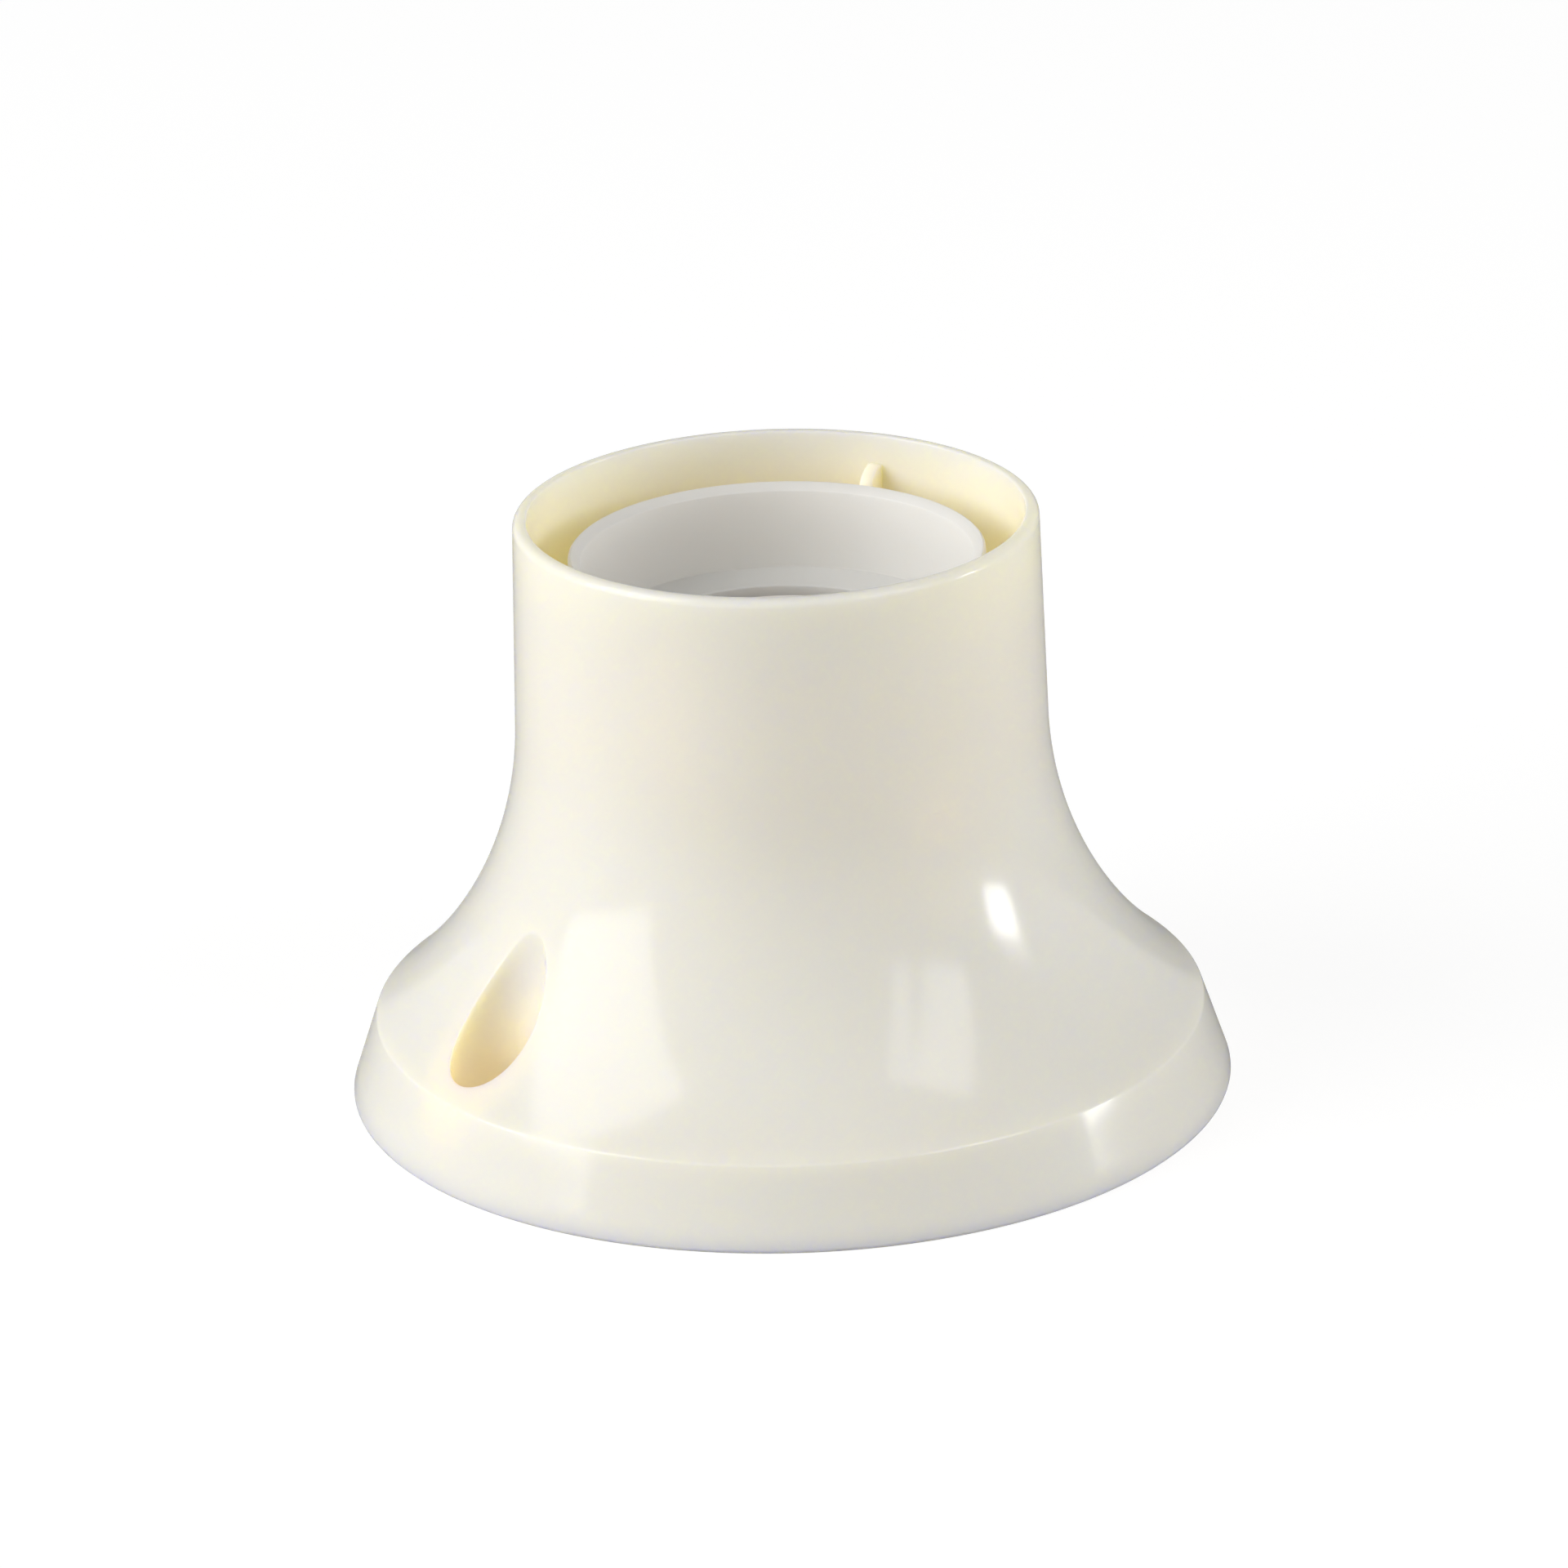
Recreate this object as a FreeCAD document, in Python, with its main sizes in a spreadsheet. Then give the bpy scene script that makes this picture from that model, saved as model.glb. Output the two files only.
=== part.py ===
import FreeCAD, Part
import math
import os
import re
import Sketcher

# Surface lamp holder for a screw-cap lamp: a moulded bell housing with two
# screw wells in its flare, an insulating barrel inside its mouth, a rolled
# screw shell, a sprung centre contact and two screw terminals underneath.
# Millimetres. The origin is the centre of the foot, +Z runs up the lamp axis
# and the two fixing wells lie on +X and -X.

SIZES = [
    # lamp cap and screw shell
    ("cap_bore_radius", 13.35, "screw shell, inside at its widest"),
    ("thread_depth", 1.1, "depth of the rolled thread"),
    ("thread_pitch", 3.63, "rise from wave to wave"),
    ("thread_length", 15.0, "rolled length below the rim of the shell"),
    ("shell_wall", 0.3, "sheet of the screw shell"),
    ("shell_clearance", 0.1, "around the screw shell and the spigot"),
    ("shell_tab_width", 6.0, "tab under the shell rivet"),
    # insulating barrel
    ("sleeve_wall", 1.4, "sleeve around the shell"),
    ("skirt_wall", 1.6, "outer skirt of the barrel"),
    ("ledge_width", 3.45, "from the shell seat to the lamp entry"),
    ("ledge_fall", 0.5, "fall of the ledge to its hole"),
    ("ledge_depth", 7.9, "barrel rim down to the ledge"),
    ("lip_cover", 0.3, "lip over the edge of the shell"),
    ("lip_thickness", 1.2, "lip above the shell"),
    ("entry_taper", 0.75, "lamp entry, wider at the top by"),
    ("entry_bevel_width", 0.95, "bevel inside the barrel rim"),
    ("entry_bevel_height", 0.7, "bevel inside the barrel rim"),
    ("barrel_chamfer", 0.4, "outer edge of the barrel rim"),
    ("barrel_recess", 3.6, "housing rim down to the barrel rim"),
    ("flange_thickness", 3.0, "ears of the barrel"),
    # bell housing
    ("housing_height", 55.4, "foot to rim"),
    ("mouth_gap", 3.4, "barrel to housing rim"),
    ("rim_wall", 1.25, "housing wall at the rim"),
    ("housing_wall", 1.6, "housing wall below the neck"),
    ("neck_draft", 0.52, "neck, wider than the rim by"),
    ("neck_height", 35.6, "where the straight neck ends"),
    ("flare_spread", 16.53, "neck to foot"),
    ("band_inset", 2.53, "shoulder edge, smaller than the foot by"),
    ("shoulder_height", 7.5, "foot to shoulder edge"),
    ("rim_rounding", 0.8, "outer edge of the rim"),
    ("rim_inner_chamfer", 0.2, "inner edge of the rim"),
    ("shoulder_chamfer", 0.3, "edge above the band"),
    ("foot_chamfer", 0.3, "outer edge of the foot"),
    # screw wells
    ("well_inset", 8.7, "foot edge to well axis"),
    ("well_radius", 4.55, "well for a screw head and driver"),
    ("well_wall", 1.6, "wall of the well"),
    ("well_floor", 3.0, "floor of the well"),
    ("mounting_hole_radius", 2.2, "hole through the floor"),
    # locating fins
    ("fin_angle", 29.0, "degrees round from +X"),
    ("fin_thickness", 1.3, "across the fin"),
    ("fin_clearance", 0.5, "fin to barrel"),
    ("fin_drop", 2.5, "housing rim down to the fin"),
    ("fin_rise", 1.3, "neck up to the foot of the fin"),
    # fixing bosses, ears and screws
    ("boss_radius", 3.0, "boss and ear"),
    ("boss_clearance", 0.3, "boss to barrel"),
    ("boss_height", 13.0, "above the ears"),
    ("boss_web", 2.0, "web from boss to housing"),
    ("fixing_screw_radius", 1.5, "shank"),
    ("fixing_screw_bite", 9.0, "length of shank inside the boss"),
    ("fixing_head_radius", 2.7, "pan head"),
    ("fixing_head_height", 2.0, "pan head"),
    ("thread_fit", 0.02, "around a shank in its thread"),
    ("shank_clearance", 0.1, "around a shank that passes through"),
    # terminal base
    ("base_level", 13.0, "foot of the housing up to the base"),
    ("base_thickness", 5.0, "disc of the base"),
    ("spigot_height", 4.0, "spigot inside the sleeve"),
    ("barrier_thickness", 1.8, "rib between the terminals"),
    ("barrier_length", 24.0, "rib between the terminals"),
    ("barrier_drop", 3.5, "rib between the terminals"),
    # terminals
    ("plate_thickness", 1.0, "terminal plate"),
    ("plate_width", 8.0, "terminal plate"),
    ("plate_margin", 3.6, "plate beyond its rivet and its screw"),
    ("rivet_offset", 8.2, "lamp axis to rivet"),
    ("rivet_radius", 1.4, "shank"),
    ("rivet_head_radius", 2.3, "head"),
    ("rivet_head_height", 0.8, "head"),
    ("rivet_fit", 0.05, "around the rivet"),
    ("terminal_offset", 14.5, "lamp axis to terminal screw"),
    ("terminal_screw_radius", 1.75, "shank"),
    ("terminal_screw_reach", 5.8, "shank above the washer's face"),
    ("terminal_head_radius", 3.3, "head"),
    ("terminal_head_height", 2.4, "head"),
    ("terminal_bore_spare", 0.5, "depth beyond the screw's tip"),
    ("washer_side", 7.0, "square clamp washer"),
    ("washer_thickness", 0.8, "square clamp washer"),
    ("slot_width", 0.9, "driver slot"),
    ("slot_depth", 1.1, "driver slot"),
    ("head_rounding", 0.5, "edge of a screw head"),
    # centre contact
    ("leaf_thickness", 0.5, "spring leaf"),
    ("leaf_width", 5.0, "spring leaf"),
    ("leaf_foot", 2.6, "leaf beyond its rivet, each way"),
    ("leaf_rise", 1.7, "tongue above the foot"),
    ("leaf_slope", 2.6, "length of the slope"),
    ("leaf_tip", 2.7, "tongue beyond the lamp axis"),
    ("tip_radius", 2.2, "contact button"),
    ("tip_height", 0.9, "contact button"),
    ("tip_rounding", 0.4, "contact button"),
    # shaping of cuts
    ("cut_overrun", 1.0, "how far a cutting tool runs on"),
]
NAMES = {name for name, size, note in SIZES}

DOC = FreeCAD.newDocument("LampHolder")
SHEET = DOC.addObject("Spreadsheet::Sheet", "Sizes")
for row, (name, size, note) in enumerate(SIZES, start=1):
    SHEET.set("A%d" % row, name)
    SHEET.set("B%d" % row, str(size))
    SHEET.set("C%d" % row, note)
    SHEET.setAlias("B%d" % row, name)
DOC.recompute()

# Radii, from the lamp cap outwards.
SHELL_RADIUS = "(cap_bore_radius + shell_wall)"
SEAT_RADIUS = "(cap_bore_radius + shell_wall + shell_clearance)"
HOLE_RADIUS = "(cap_bore_radius + shell_wall + shell_clearance - lip_cover)"
ENTRY_FOOT = "(cap_bore_radius + shell_wall + shell_clearance + ledge_width)"
ENTRY_RADIUS = "(%s + entry_taper)" % ENTRY_FOOT
BARREL_RADIUS = "(%s + entry_bevel_width + barrel_chamfer)" % ENTRY_RADIUS
RIM_INSIDE = "(%s + mouth_gap)" % BARREL_RADIUS
MOUTH_RADIUS = "(%s + rim_wall)" % RIM_INSIDE
NECK_RADIUS = "(%s + neck_draft)" % MOUTH_RADIUS
BASE_RADIUS = "(%s + flare_spread)" % NECK_RADIUS
WELL_OFFSET = "(%s - well_inset)" % BASE_RADIUS
BOSS_OFFSET = "(%s + boss_clearance + boss_radius)" % BARREL_RADIUS

# Levels, from the foot upwards.
BASE_TOP = "(base_level + base_thickness)"
FLANGE_TOP = "(base_level + base_thickness + flange_thickness)"
SPIGOT_TOP = "(base_level + base_thickness + spigot_height)"
PLATE_LEVEL = "(base_level - plate_thickness)"
WASHER_LEVEL = "(base_level - plate_thickness - washer_thickness)"
BARREL_TOP = "(housing_height - barrel_recess)"
LEDGE_LEVEL = "(housing_height - barrel_recess - ledge_depth)"
HOLE_LEVEL = "(housing_height - barrel_recess - ledge_depth - ledge_fall)"
SHELL_TOP = "(housing_height - barrel_recess - ledge_depth - ledge_fall - lip_thickness)"


def formula(text):
    """Size names become references to the sheet."""
    return re.sub(r"[a-z_]+", lambda m: "Sizes." + m.group() if m.group() in NAMES else m.group(), text)


def value(text):
    return float(SHEET.evalExpression(formula(text)))


def bind(obj, prop, text):
    obj.setExpression(prop, formula(text))


def place(obj, x="0", y="0", z="0"):
    bind(obj, ".Placement.Base.x", x)
    bind(obj, ".Placement.Base.y", y)
    bind(obj, ".Placement.Base.z", z)


def cylinder(name, radius, height, x="0", y="0", z="0"):
    obj = DOC.addObject("Part::Cylinder", name)
    bind(obj, "Radius", radius)
    bind(obj, "Height", height)
    place(obj, x, y, z)
    return obj


def box(name, length, width, height, x="0", y="0", z="0"):
    """A box centred on x and y, standing on z."""
    obj = DOC.addObject("Part::Box", name)
    bind(obj, "Length", length)
    bind(obj, "Width", width)
    bind(obj, "Height", height)
    place(obj, "%s - (%s) / 2" % (x, length), "%s - (%s) / 2" % (y, width), z)
    return obj


def fuse(name, *shapes):
    obj = DOC.addObject("Part::MultiFuse", name)
    obj.Shapes = list(shapes)
    return obj


def common(name, *shapes):
    obj = DOC.addObject("Part::MultiCommon", name)
    obj.Shapes = list(shapes)
    return obj


def cut(name, base, tool):
    obj = DOC.addObject("Part::Cut", name)
    obj.Base = base
    obj.Tool = tool
    return obj


def origin_plane(body, role):
    return next(item for item in body.Origin.OriginFeatures if item.Role == role)


def new_sketch(body, name, role):
    sketch = body.newObject("Sketcher::SketchObject", name)
    sketch.AttachmentSupport = [(origin_plane(body, role), "")]
    sketch.MapMode = "FlatFace"
    return sketch


def pin(sketch, geometry, end, x, y):
    """Hold a point of the sketch at two formulas."""
    for kind, text, axis in (("DistanceX", x, -2), ("DistanceY", y, -1)):
        if text == "0":
            sketch.addConstraint(Sketcher.Constraint("PointOnObject", geometry, end, axis))
        else:
            index = sketch.addConstraint(
                Sketcher.Constraint(kind, -1, 1, geometry, end, value(text))
            )
            sketch.setExpression("Constraints[%d]" % index, formula(text))


def outline(sketch, points):
    """A closed outline of straight lines through points given as formulas."""
    at = [FreeCAD.Vector(value(x), value(y), 0) for x, y in points]
    lines = [
        sketch.addGeometry(Part.LineSegment(at[i], at[(i + 1) % len(at)]))
        for i in range(len(at))
    ]
    for i, line in enumerate(lines):
        following = lines[(i + 1) % len(lines)]
        sketch.addConstraint(Sketcher.Constraint("Coincident", line, 2, following, 1))
    for line, (x, y) in zip(lines, points):
        pin(sketch, line, 1, x, y)
    return lines


def revolve(body, sketch, name):
    turn = body.newObject("PartDesign::Revolution", name)
    turn.Profile = sketch
    turn.ReferenceAxis = (sketch, ["V_Axis"])
    turn.Angle = 360.0
    DOC.recompute()
    return turn


def turned(name, points):
    """A body turned about its own axis from an outline of radius and height."""
    body = DOC.addObject("PartDesign::Body", name)
    sketch = new_sketch(body, name + "_section", "XZ_Plane")
    outline(sketch, points)
    revolve(body, sketch, name + "_turned")
    return body


def ring_edges(feature, radius, level):
    """Names of the round edges of one radius at one level."""
    found = []
    for i, edge in enumerate(feature.Shape.Edges, start=1):
        round_edge = isinstance(edge.Curve, Part.Circle)
        if round_edge and abs(edge.Curve.Radius - radius) < 1e-4 and abs(edge.Curve.Center.z - level) < 1e-4:
            found.append("Edge%d" % i)
    return found


def dress_ring(body, kind, prop, name, radius, level, size):
    """A fillet or chamfer on the round edge of one radius at one level."""
    dressing = body.newObject(kind, name)
    before = dressing.BaseFeature or body.Tip
    dressing.Base = (before, ring_edges(before, value(radius), value(level)))
    bind(dressing, prop, size)
    DOC.recompute()
    return dressing


def round_ring(body, name, radius, level, size):
    return dress_ring(body, "PartDesign::Fillet", "Radius", name, radius, level, size)


def bevel_ring(body, name, radius, level, size):
    return dress_ring(body, "PartDesign::Chamfer", "Size", name, radius, level, size)


def flare_arc(sketch):
    """The outside of the bell: band, concave flare and neck. Returns its pieces."""
    foot = FreeCAD.Vector(value(BASE_RADIUS), 0, 0)
    shoulder = FreeCAD.Vector(value(BASE_RADIUS + " - band_inset"), value("shoulder_height"), 0)
    neck = FreeCAD.Vector(value(NECK_RADIUS), value("neck_height"), 0)
    mouth = FreeCAD.Vector(value(MOUTH_RADIUS), value("housing_height"), 0)
    rise = (mouth - neck).normalize()
    outward = FreeCAD.Vector(rise.y, -rise.x, 0)
    chord = shoulder - neck
    radius = chord.dot(chord) / (2 * chord.dot(outward))
    centre = neck + outward * radius
    start = math.atan2(neck.y - centre.y, neck.x - centre.x) % (2 * math.pi)
    finish = math.atan2(shoulder.y - centre.y, shoulder.x - centre.x) % (2 * math.pi)
    circle = Part.Circle(centre, FreeCAD.Vector(0, 0, 1), radius)
    band = sketch.addGeometry(Part.LineSegment(foot, shoulder))
    arc = sketch.addGeometry(Part.ArcOfCircle(circle, start, finish))
    side = sketch.addGeometry(Part.LineSegment(neck, mouth))
    sketch.addConstraint(Sketcher.Constraint("Coincident", band, 2, arc, 2))
    sketch.addConstraint(Sketcher.Constraint("Tangent", arc, 1, side, 1))
    pin(sketch, band, 1, BASE_RADIUS, "0")
    pin(sketch, band, 2, BASE_RADIUS + " - band_inset", "shoulder_height")
    pin(sketch, side, 1, NECK_RADIUS, "neck_height")
    pin(sketch, side, 2, MOUTH_RADIUS, "housing_height")
    return band, arc, side, centre


def line_between(sketch, first, first_end, second, second_end):
    """A line that closes the gap between the ends of two pieces."""
    start = sketch.getPoint(first, first_end)
    finish = sketch.getPoint(second, second_end)
    line = sketch.addGeometry(Part.LineSegment(start, finish))
    sketch.addConstraint(Sketcher.Constraint("Coincident", first, first_end, line, 1))
    sketch.addConstraint(Sketcher.Constraint("Coincident", line, 2, second, second_end))
    return line


def soften_bell(body):
    """Edge roundings that the shell and the solid form share."""
    shoulder = BASE_RADIUS + " - band_inset"
    round_ring(body, body.Name + "_shoulder", shoulder, "shoulder_height", "shoulder_rounding")
    round_ring(body, body.Name + "_rim", MOUTH_RADIUS, "housing_height", "min(rim_rounding, 0.65 * rim_wall)")
    round_ring(body, body.Name + "_foot", BASE_RADIUS, "0", "min(foot_rounding, 0.2 * housing_wall)")


def bell_form():
    """The outside of the bell as a solid."""
    body = DOC.addObject("PartDesign::Body", "bell_form")
    sketch = new_sketch(body, "bell_form_section", "XZ_Plane")
    band, arc, side, centre = flare_arc(sketch)
    top = FreeCAD.Vector(0, value("housing_height"), 0)
    axis = sketch.addGeometry(Part.LineSegment(top, FreeCAD.Vector(0, 0, 0)))
    pin(sketch, axis, 1, "0", "housing_height")
    sketch.addConstraint(Sketcher.Constraint("Coincident", axis, 2, -1, 1))
    line_between(sketch, side, 2, axis, 1)
    line_between(sketch, axis, 2, band, 1)
    revolve(body, sketch, "bell_form_turned")
    shoulder = BASE_RADIUS + " - band_inset"
    bevel_ring(body, "bell_shoulder", shoulder, "shoulder_height", "shoulder_chamfer")
    round_ring(body, "bell_rim", MOUTH_RADIUS, "housing_height", "min(rim_rounding, 0.65 * rim_wall)")
    bevel_ring(body, "bell_foot", BASE_RADIUS, "0", "min(foot_chamfer, 0.2 * housing_wall)")
    return body


def chain(sketch, start, points):
    """Straight lines from the free end of a piece through points given as formulas."""
    piece, end = start
    for x, y in points:
        target = FreeCAD.Vector(value(x), value(y), 0)
        line = sketch.addGeometry(Part.LineSegment(sketch.getPoint(piece, end), target))
        sketch.addConstraint(Sketcher.Constraint("Coincident", piece, end, line, 1))
        pin(sketch, line, 2, x, y)
        piece, end = line, 2
    return piece


def bell_cavity():
    """The room inside the bell: its flare runs concentric with the outer one."""
    body = DOC.addObject("PartDesign::Body", "bell_cavity")
    sketch = new_sketch(body, "bell_cavity_section", "XZ_Plane")
    band, arc, side, centre = flare_arc(sketch)
    for piece in (band, arc, side):
        sketch.toggleConstruction(piece)
    inner_foot = BASE_RADIUS + " - housing_wall"
    neck = FreeCAD.Vector(value(NECK_RADIUS + " - housing_wall"), value("neck_height"), 0)
    reach = (neck - centre).Length
    slant = math.atan2(value("band_inset"), value("shoulder_height"))
    foot = FreeCAD.Vector(value(inner_foot), 0, 0)
    along = FreeCAD.Vector(-math.sin(slant), math.cos(slant), 0)
    towards = foot - centre
    drop = towards.dot(along)
    meeting = foot + along * (-drop - math.sqrt(drop ** 2 - towards.dot(towards) + reach ** 2))
    start = math.atan2(neck.y - centre.y, neck.x - centre.x) % (2 * math.pi)
    finish = math.atan2(meeting.y - centre.y, meeting.x - centre.x) % (2 * math.pi)
    circle = Part.Circle(centre, FreeCAD.Vector(0, 0, 1), reach)
    inner_arc = sketch.addGeometry(Part.ArcOfCircle(circle, start, finish))
    inner_band = sketch.addGeometry(Part.LineSegment(meeting, foot))
    sketch.addConstraint(Sketcher.Constraint("Coincident", inner_arc, 2, inner_band, 1))
    sketch.addConstraint(Sketcher.Constraint("Coincident", inner_arc, 3, arc, 3))
    sketch.addConstraint(Sketcher.Constraint("Parallel", inner_band, band))
    pin(sketch, inner_arc, 1, NECK_RADIUS + " - housing_wall", "neck_height")
    pin(sketch, inner_band, 2, inner_foot, "0")
    edge = "min(rim_inner_chamfer, 0.2 * rim_wall)"
    last = chain(sketch, (inner_band, 2), [
        (inner_foot, "-cut_overrun"),
        ("0", "-cut_overrun"),
        ("0", "housing_height + cut_overrun"),
        (RIM_INSIDE + " + " + edge, "housing_height + cut_overrun"),
        (RIM_INSIDE + " + " + edge, "housing_height"),
        (RIM_INSIDE, "housing_height - " + edge),
    ])
    line_between(sketch, last, 2, inner_arc, 1)
    revolve(body, sketch, "bell_cavity_turned")
    return body


def locating_fins():
    """Two upright fins on the neck's inner wall, with rounded tops."""
    inner = BARREL_RADIUS + " + fin_clearance"
    outer = RIM_INSIDE + " + rim_wall / 2"
    top = "housing_height - fin_drop"
    ring = turned("fin_ring", [
        (inner, "neck_height + fin_rise"),
        (outer, "neck_height + fin_rise"),
        (outer, top),
        (inner, top),
    ])
    round_ring(ring, "fin_top", inner, top, "0.95 * (mouth_gap - fin_clearance)")
    bar = DOC.addObject("Part::Box", "fin_bar")
    bind(bar, "Length", "2 * %s" % MOUTH_RADIUS)
    bind(bar, "Width", "fin_thickness")
    bind(bar, "Height", "housing_height")
    turn = FreeCAD.Rotation(FreeCAD.Vector(0, 0, 1), value("fin_angle"))
    corner = FreeCAD.Vector(-value(MOUTH_RADIUS), -value("fin_thickness") / 2, 0)
    bar.Placement = FreeCAD.Placement(turn.multVec(corner), turn)
    return common("fins", ring, bar)


def bell_housing():
    """The bell: its cavity leaves the wells, bosses and fins standing."""
    form = bell_form()
    moulded = []
    bores = []
    for side, sign in (("right", ""), ("left", "-")):
        x = sign + WELL_OFFSET
        y = sign + BOSS_OFFSET
        reach = NECK_RADIUS + " + flare_spread / 2 - " + BOSS_OFFSET
        middle = "%s(%s + (%s) / 2)" % (sign, BOSS_OFFSET, reach)
        tube_height = "housing_height + 2 * cut_overrun"
        moulded.append(cylinder(side + "_well", "well_radius + well_wall", tube_height, x, "0", "0"))
        moulded.append(cylinder(side + "_boss", "boss_radius", "boss_height", "0", y, FLANGE_TOP))
        moulded.append(box(side + "_web", "boss_web", reach, "boss_height", "0", middle, FLANGE_TOP))
        bores.append(cylinder(side + "_well_bore", "well_radius", "housing_height", x, "0", "well_floor"))
        through = "well_floor + 2 * cut_overrun"
        bores.append(cylinder(side + "_mounting_hole", "mounting_hole_radius", through, x, "0", "-cut_overrun"))
        pilot = "fixing_screw_radius + thread_fit"
        depth = "fixing_screw_bite + 2 * cut_overrun"
        bores.append(cylinder(side + "_pilot", pilot, depth, "0", y, FLANGE_TOP + " - cut_overrun"))
    room = cut("bell_room", bell_cavity(), fuse("moulded_inside", locating_fins(), *moulded))
    return cut("bell_housing", cut("bell_blank", form, room), fuse("bell_bores", *bores))


def ears(name, level, thickness):
    """A pair of rounded ears on +Y and -Y for the fixing screws."""
    bar = box(name + "_bar", "2 * boss_radius", "2 * %s" % BOSS_OFFSET, thickness, "0", "0", level)
    right = cylinder(name + "_right_end", "boss_radius", thickness, "0", BOSS_OFFSET, level)
    left = cylinder(name + "_left_end", "boss_radius", thickness, "0", "-" + BOSS_OFFSET, level)
    return fuse(name, bar, right, left)


def ear_holes(name, level, thickness):
    bore = "fixing_screw_radius + shank_clearance"
    depth = thickness + " + 2 * cut_overrun"
    start = level + " - cut_overrun"
    right = cylinder(name + "_right", bore, depth, "0", BOSS_OFFSET, start)
    left = cylinder(name + "_left", bore, depth, "0", "-" + BOSS_OFFSET, start)
    return fuse(name, right, left)


def socket_barrel():
    """Skirt and sleeve joined by the ledge, with ears at the foot."""
    skirt_inside = BARREL_RADIUS + " - skirt_wall"
    sleeve_outside = SEAT_RADIUS + " + sleeve_wall"
    tube = turned("barrel_tube", [
        (SEAT_RADIUS, BASE_TOP),
        (SEAT_RADIUS, SHELL_TOP),
        (HOLE_RADIUS, SHELL_TOP),
        (HOLE_RADIUS, HOLE_LEVEL),
        (ENTRY_FOOT, LEDGE_LEVEL),
        (ENTRY_RADIUS, BARREL_TOP + " - entry_bevel_height"),
        (BARREL_RADIUS + " - barrel_chamfer", BARREL_TOP),
        (BARREL_RADIUS, BARREL_TOP + " - barrel_chamfer"),
        (BARREL_RADIUS, BASE_TOP),
        (skirt_inside, BASE_TOP),
        (skirt_inside, SHELL_TOP),
        (sleeve_outside, SHELL_TOP),
        (sleeve_outside, BASE_TOP),
    ])
    core = cylinder("barrel_core", BARREL_RADIUS + " - skirt_wall / 2", "flange_thickness", "0", "0", BASE_TOP)
    collar = cut("barrel_ears", ears("barrel_ear_pair", BASE_TOP, "flange_thickness"), core)
    holes = ear_holes("barrel_ear_holes", BASE_TOP, "flange_thickness")
    return cut("socket_barrel", fuse("barrel_blank", tube, collar), holes)


def terminal_base():
    """Disc and spigot that close the barrel, with a rib between the terminals."""
    disc = cylinder("base_disc", BARREL_RADIUS, "base_thickness", "0", "0", "base_level")
    spigot_radius = SEAT_RADIUS + " - shell_clearance"
    spigot = cylinder("base_spigot", spigot_radius, "spigot_height + base_thickness", "0", "0", "base_level")
    rib_level = "base_level - barrier_drop"
    rib = box("base_barrier", "barrier_thickness", "barrier_length",
              "barrier_drop + base_thickness / 2", "0", "0", rib_level)
    blank = fuse("base_blank", disc, spigot, rib, ears("base_ear_pair", "base_level", "base_thickness"))
    bores = [ear_holes("base_ear_holes", "base_level", "base_thickness")]
    rivet_bore = "rivet_radius + rivet_fit"
    screw_bore = "terminal_screw_radius + thread_fit"
    rivet_depth = "base_thickness + spigot_height + 2 * cut_overrun"
    screw_depth = "terminal_screw_reach - plate_thickness - washer_thickness + terminal_bore_spare + cut_overrun"
    start = "base_level - cut_overrun"
    for side, sign in (("neutral", ""), ("live", "-")):
        bores.append(cylinder(side + "_rivet_bore", rivet_bore, rivet_depth, sign + "rivet_offset", "0", start))
        bores.append(cylinder(side + "_screw_bore", screw_bore, screw_depth, sign + "terminal_offset", "0", start))
    return cut("terminal_base", blank, fuse("base_bores", *bores))


def shell_outline():
    """Rolled waves of the screw shell above its plain foot."""
    crest = SHELL_RADIUS
    root = SHELL_RADIUS + " - thread_depth"
    usable = min(value("thread_length"), value(SHELL_TOP + " - " + SPIGOT_TOP + " - 2 * shell_wall"))
    waves = int(usable / value("thread_pitch"))
    outside = [(crest, SHELL_TOP)]
    for i in range(waves):
        outside.append((root, "%s - %.1f * thread_pitch" % (SHELL_TOP, i + 0.5)))
        outside.append((crest, "%s - %.1f * thread_pitch" % (SHELL_TOP, i + 1.0)))
    outside.append((crest, SPIGOT_TOP))
    inside = [(radius + " - shell_wall", level) for radius, level in reversed(outside[:-1])]
    lip = SHELL_RADIUS + " - thread_depth - shell_wall"
    return outside + [
        (lip, SPIGOT_TOP),
        (lip, SPIGOT_TOP + " + shell_wall"),
        (SHELL_RADIUS + " - shell_wall", SPIGOT_TOP + " + shell_wall"),
    ] + inside


def screw_shell():
    rolled = turned("rolled_shell", shell_outline())
    inner_end = "rivet_offset - rivet_head_radius"
    outer_end = SHELL_RADIUS + " - thread_depth / 2"
    length = "%s - (%s)" % (outer_end, inner_end)
    middle = "(%s + %s) / 2" % (outer_end, inner_end)
    tab = box("shell_tab", length, "shell_tab_width", "shell_wall", middle, "0", SPIGOT_TOP)
    bore = cylinder("shell_tab_bore", "rivet_radius + rivet_fit", "3 * shell_wall", "rivet_offset", "0",
                    SPIGOT_TOP + " - shell_wall")
    return cut("screw_shell", fuse("shell_blank", rolled, tab), bore)


def rivet(name, x, top):
    """A shank with a head below the terminal plate and one on top."""
    low = PLATE_LEVEL + " - rivet_head_height"
    edge = "rivet_head_radius"
    flat = "0.7 * rivet_head_radius"
    rounded = "rivet_head_height / 2"
    body = turned(name, [
        ("0", low),
        (flat, low),
        (edge, low + " + " + rounded),
        (edge, PLATE_LEVEL),
        ("rivet_radius", PLATE_LEVEL),
        ("rivet_radius", top),
        (edge, top),
        (edge, top + " + " + rounded),
        (flat, top + " + rivet_head_height"),
        ("0", top + " + rivet_head_height"),
    ])
    place(body, x)
    return body


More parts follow.
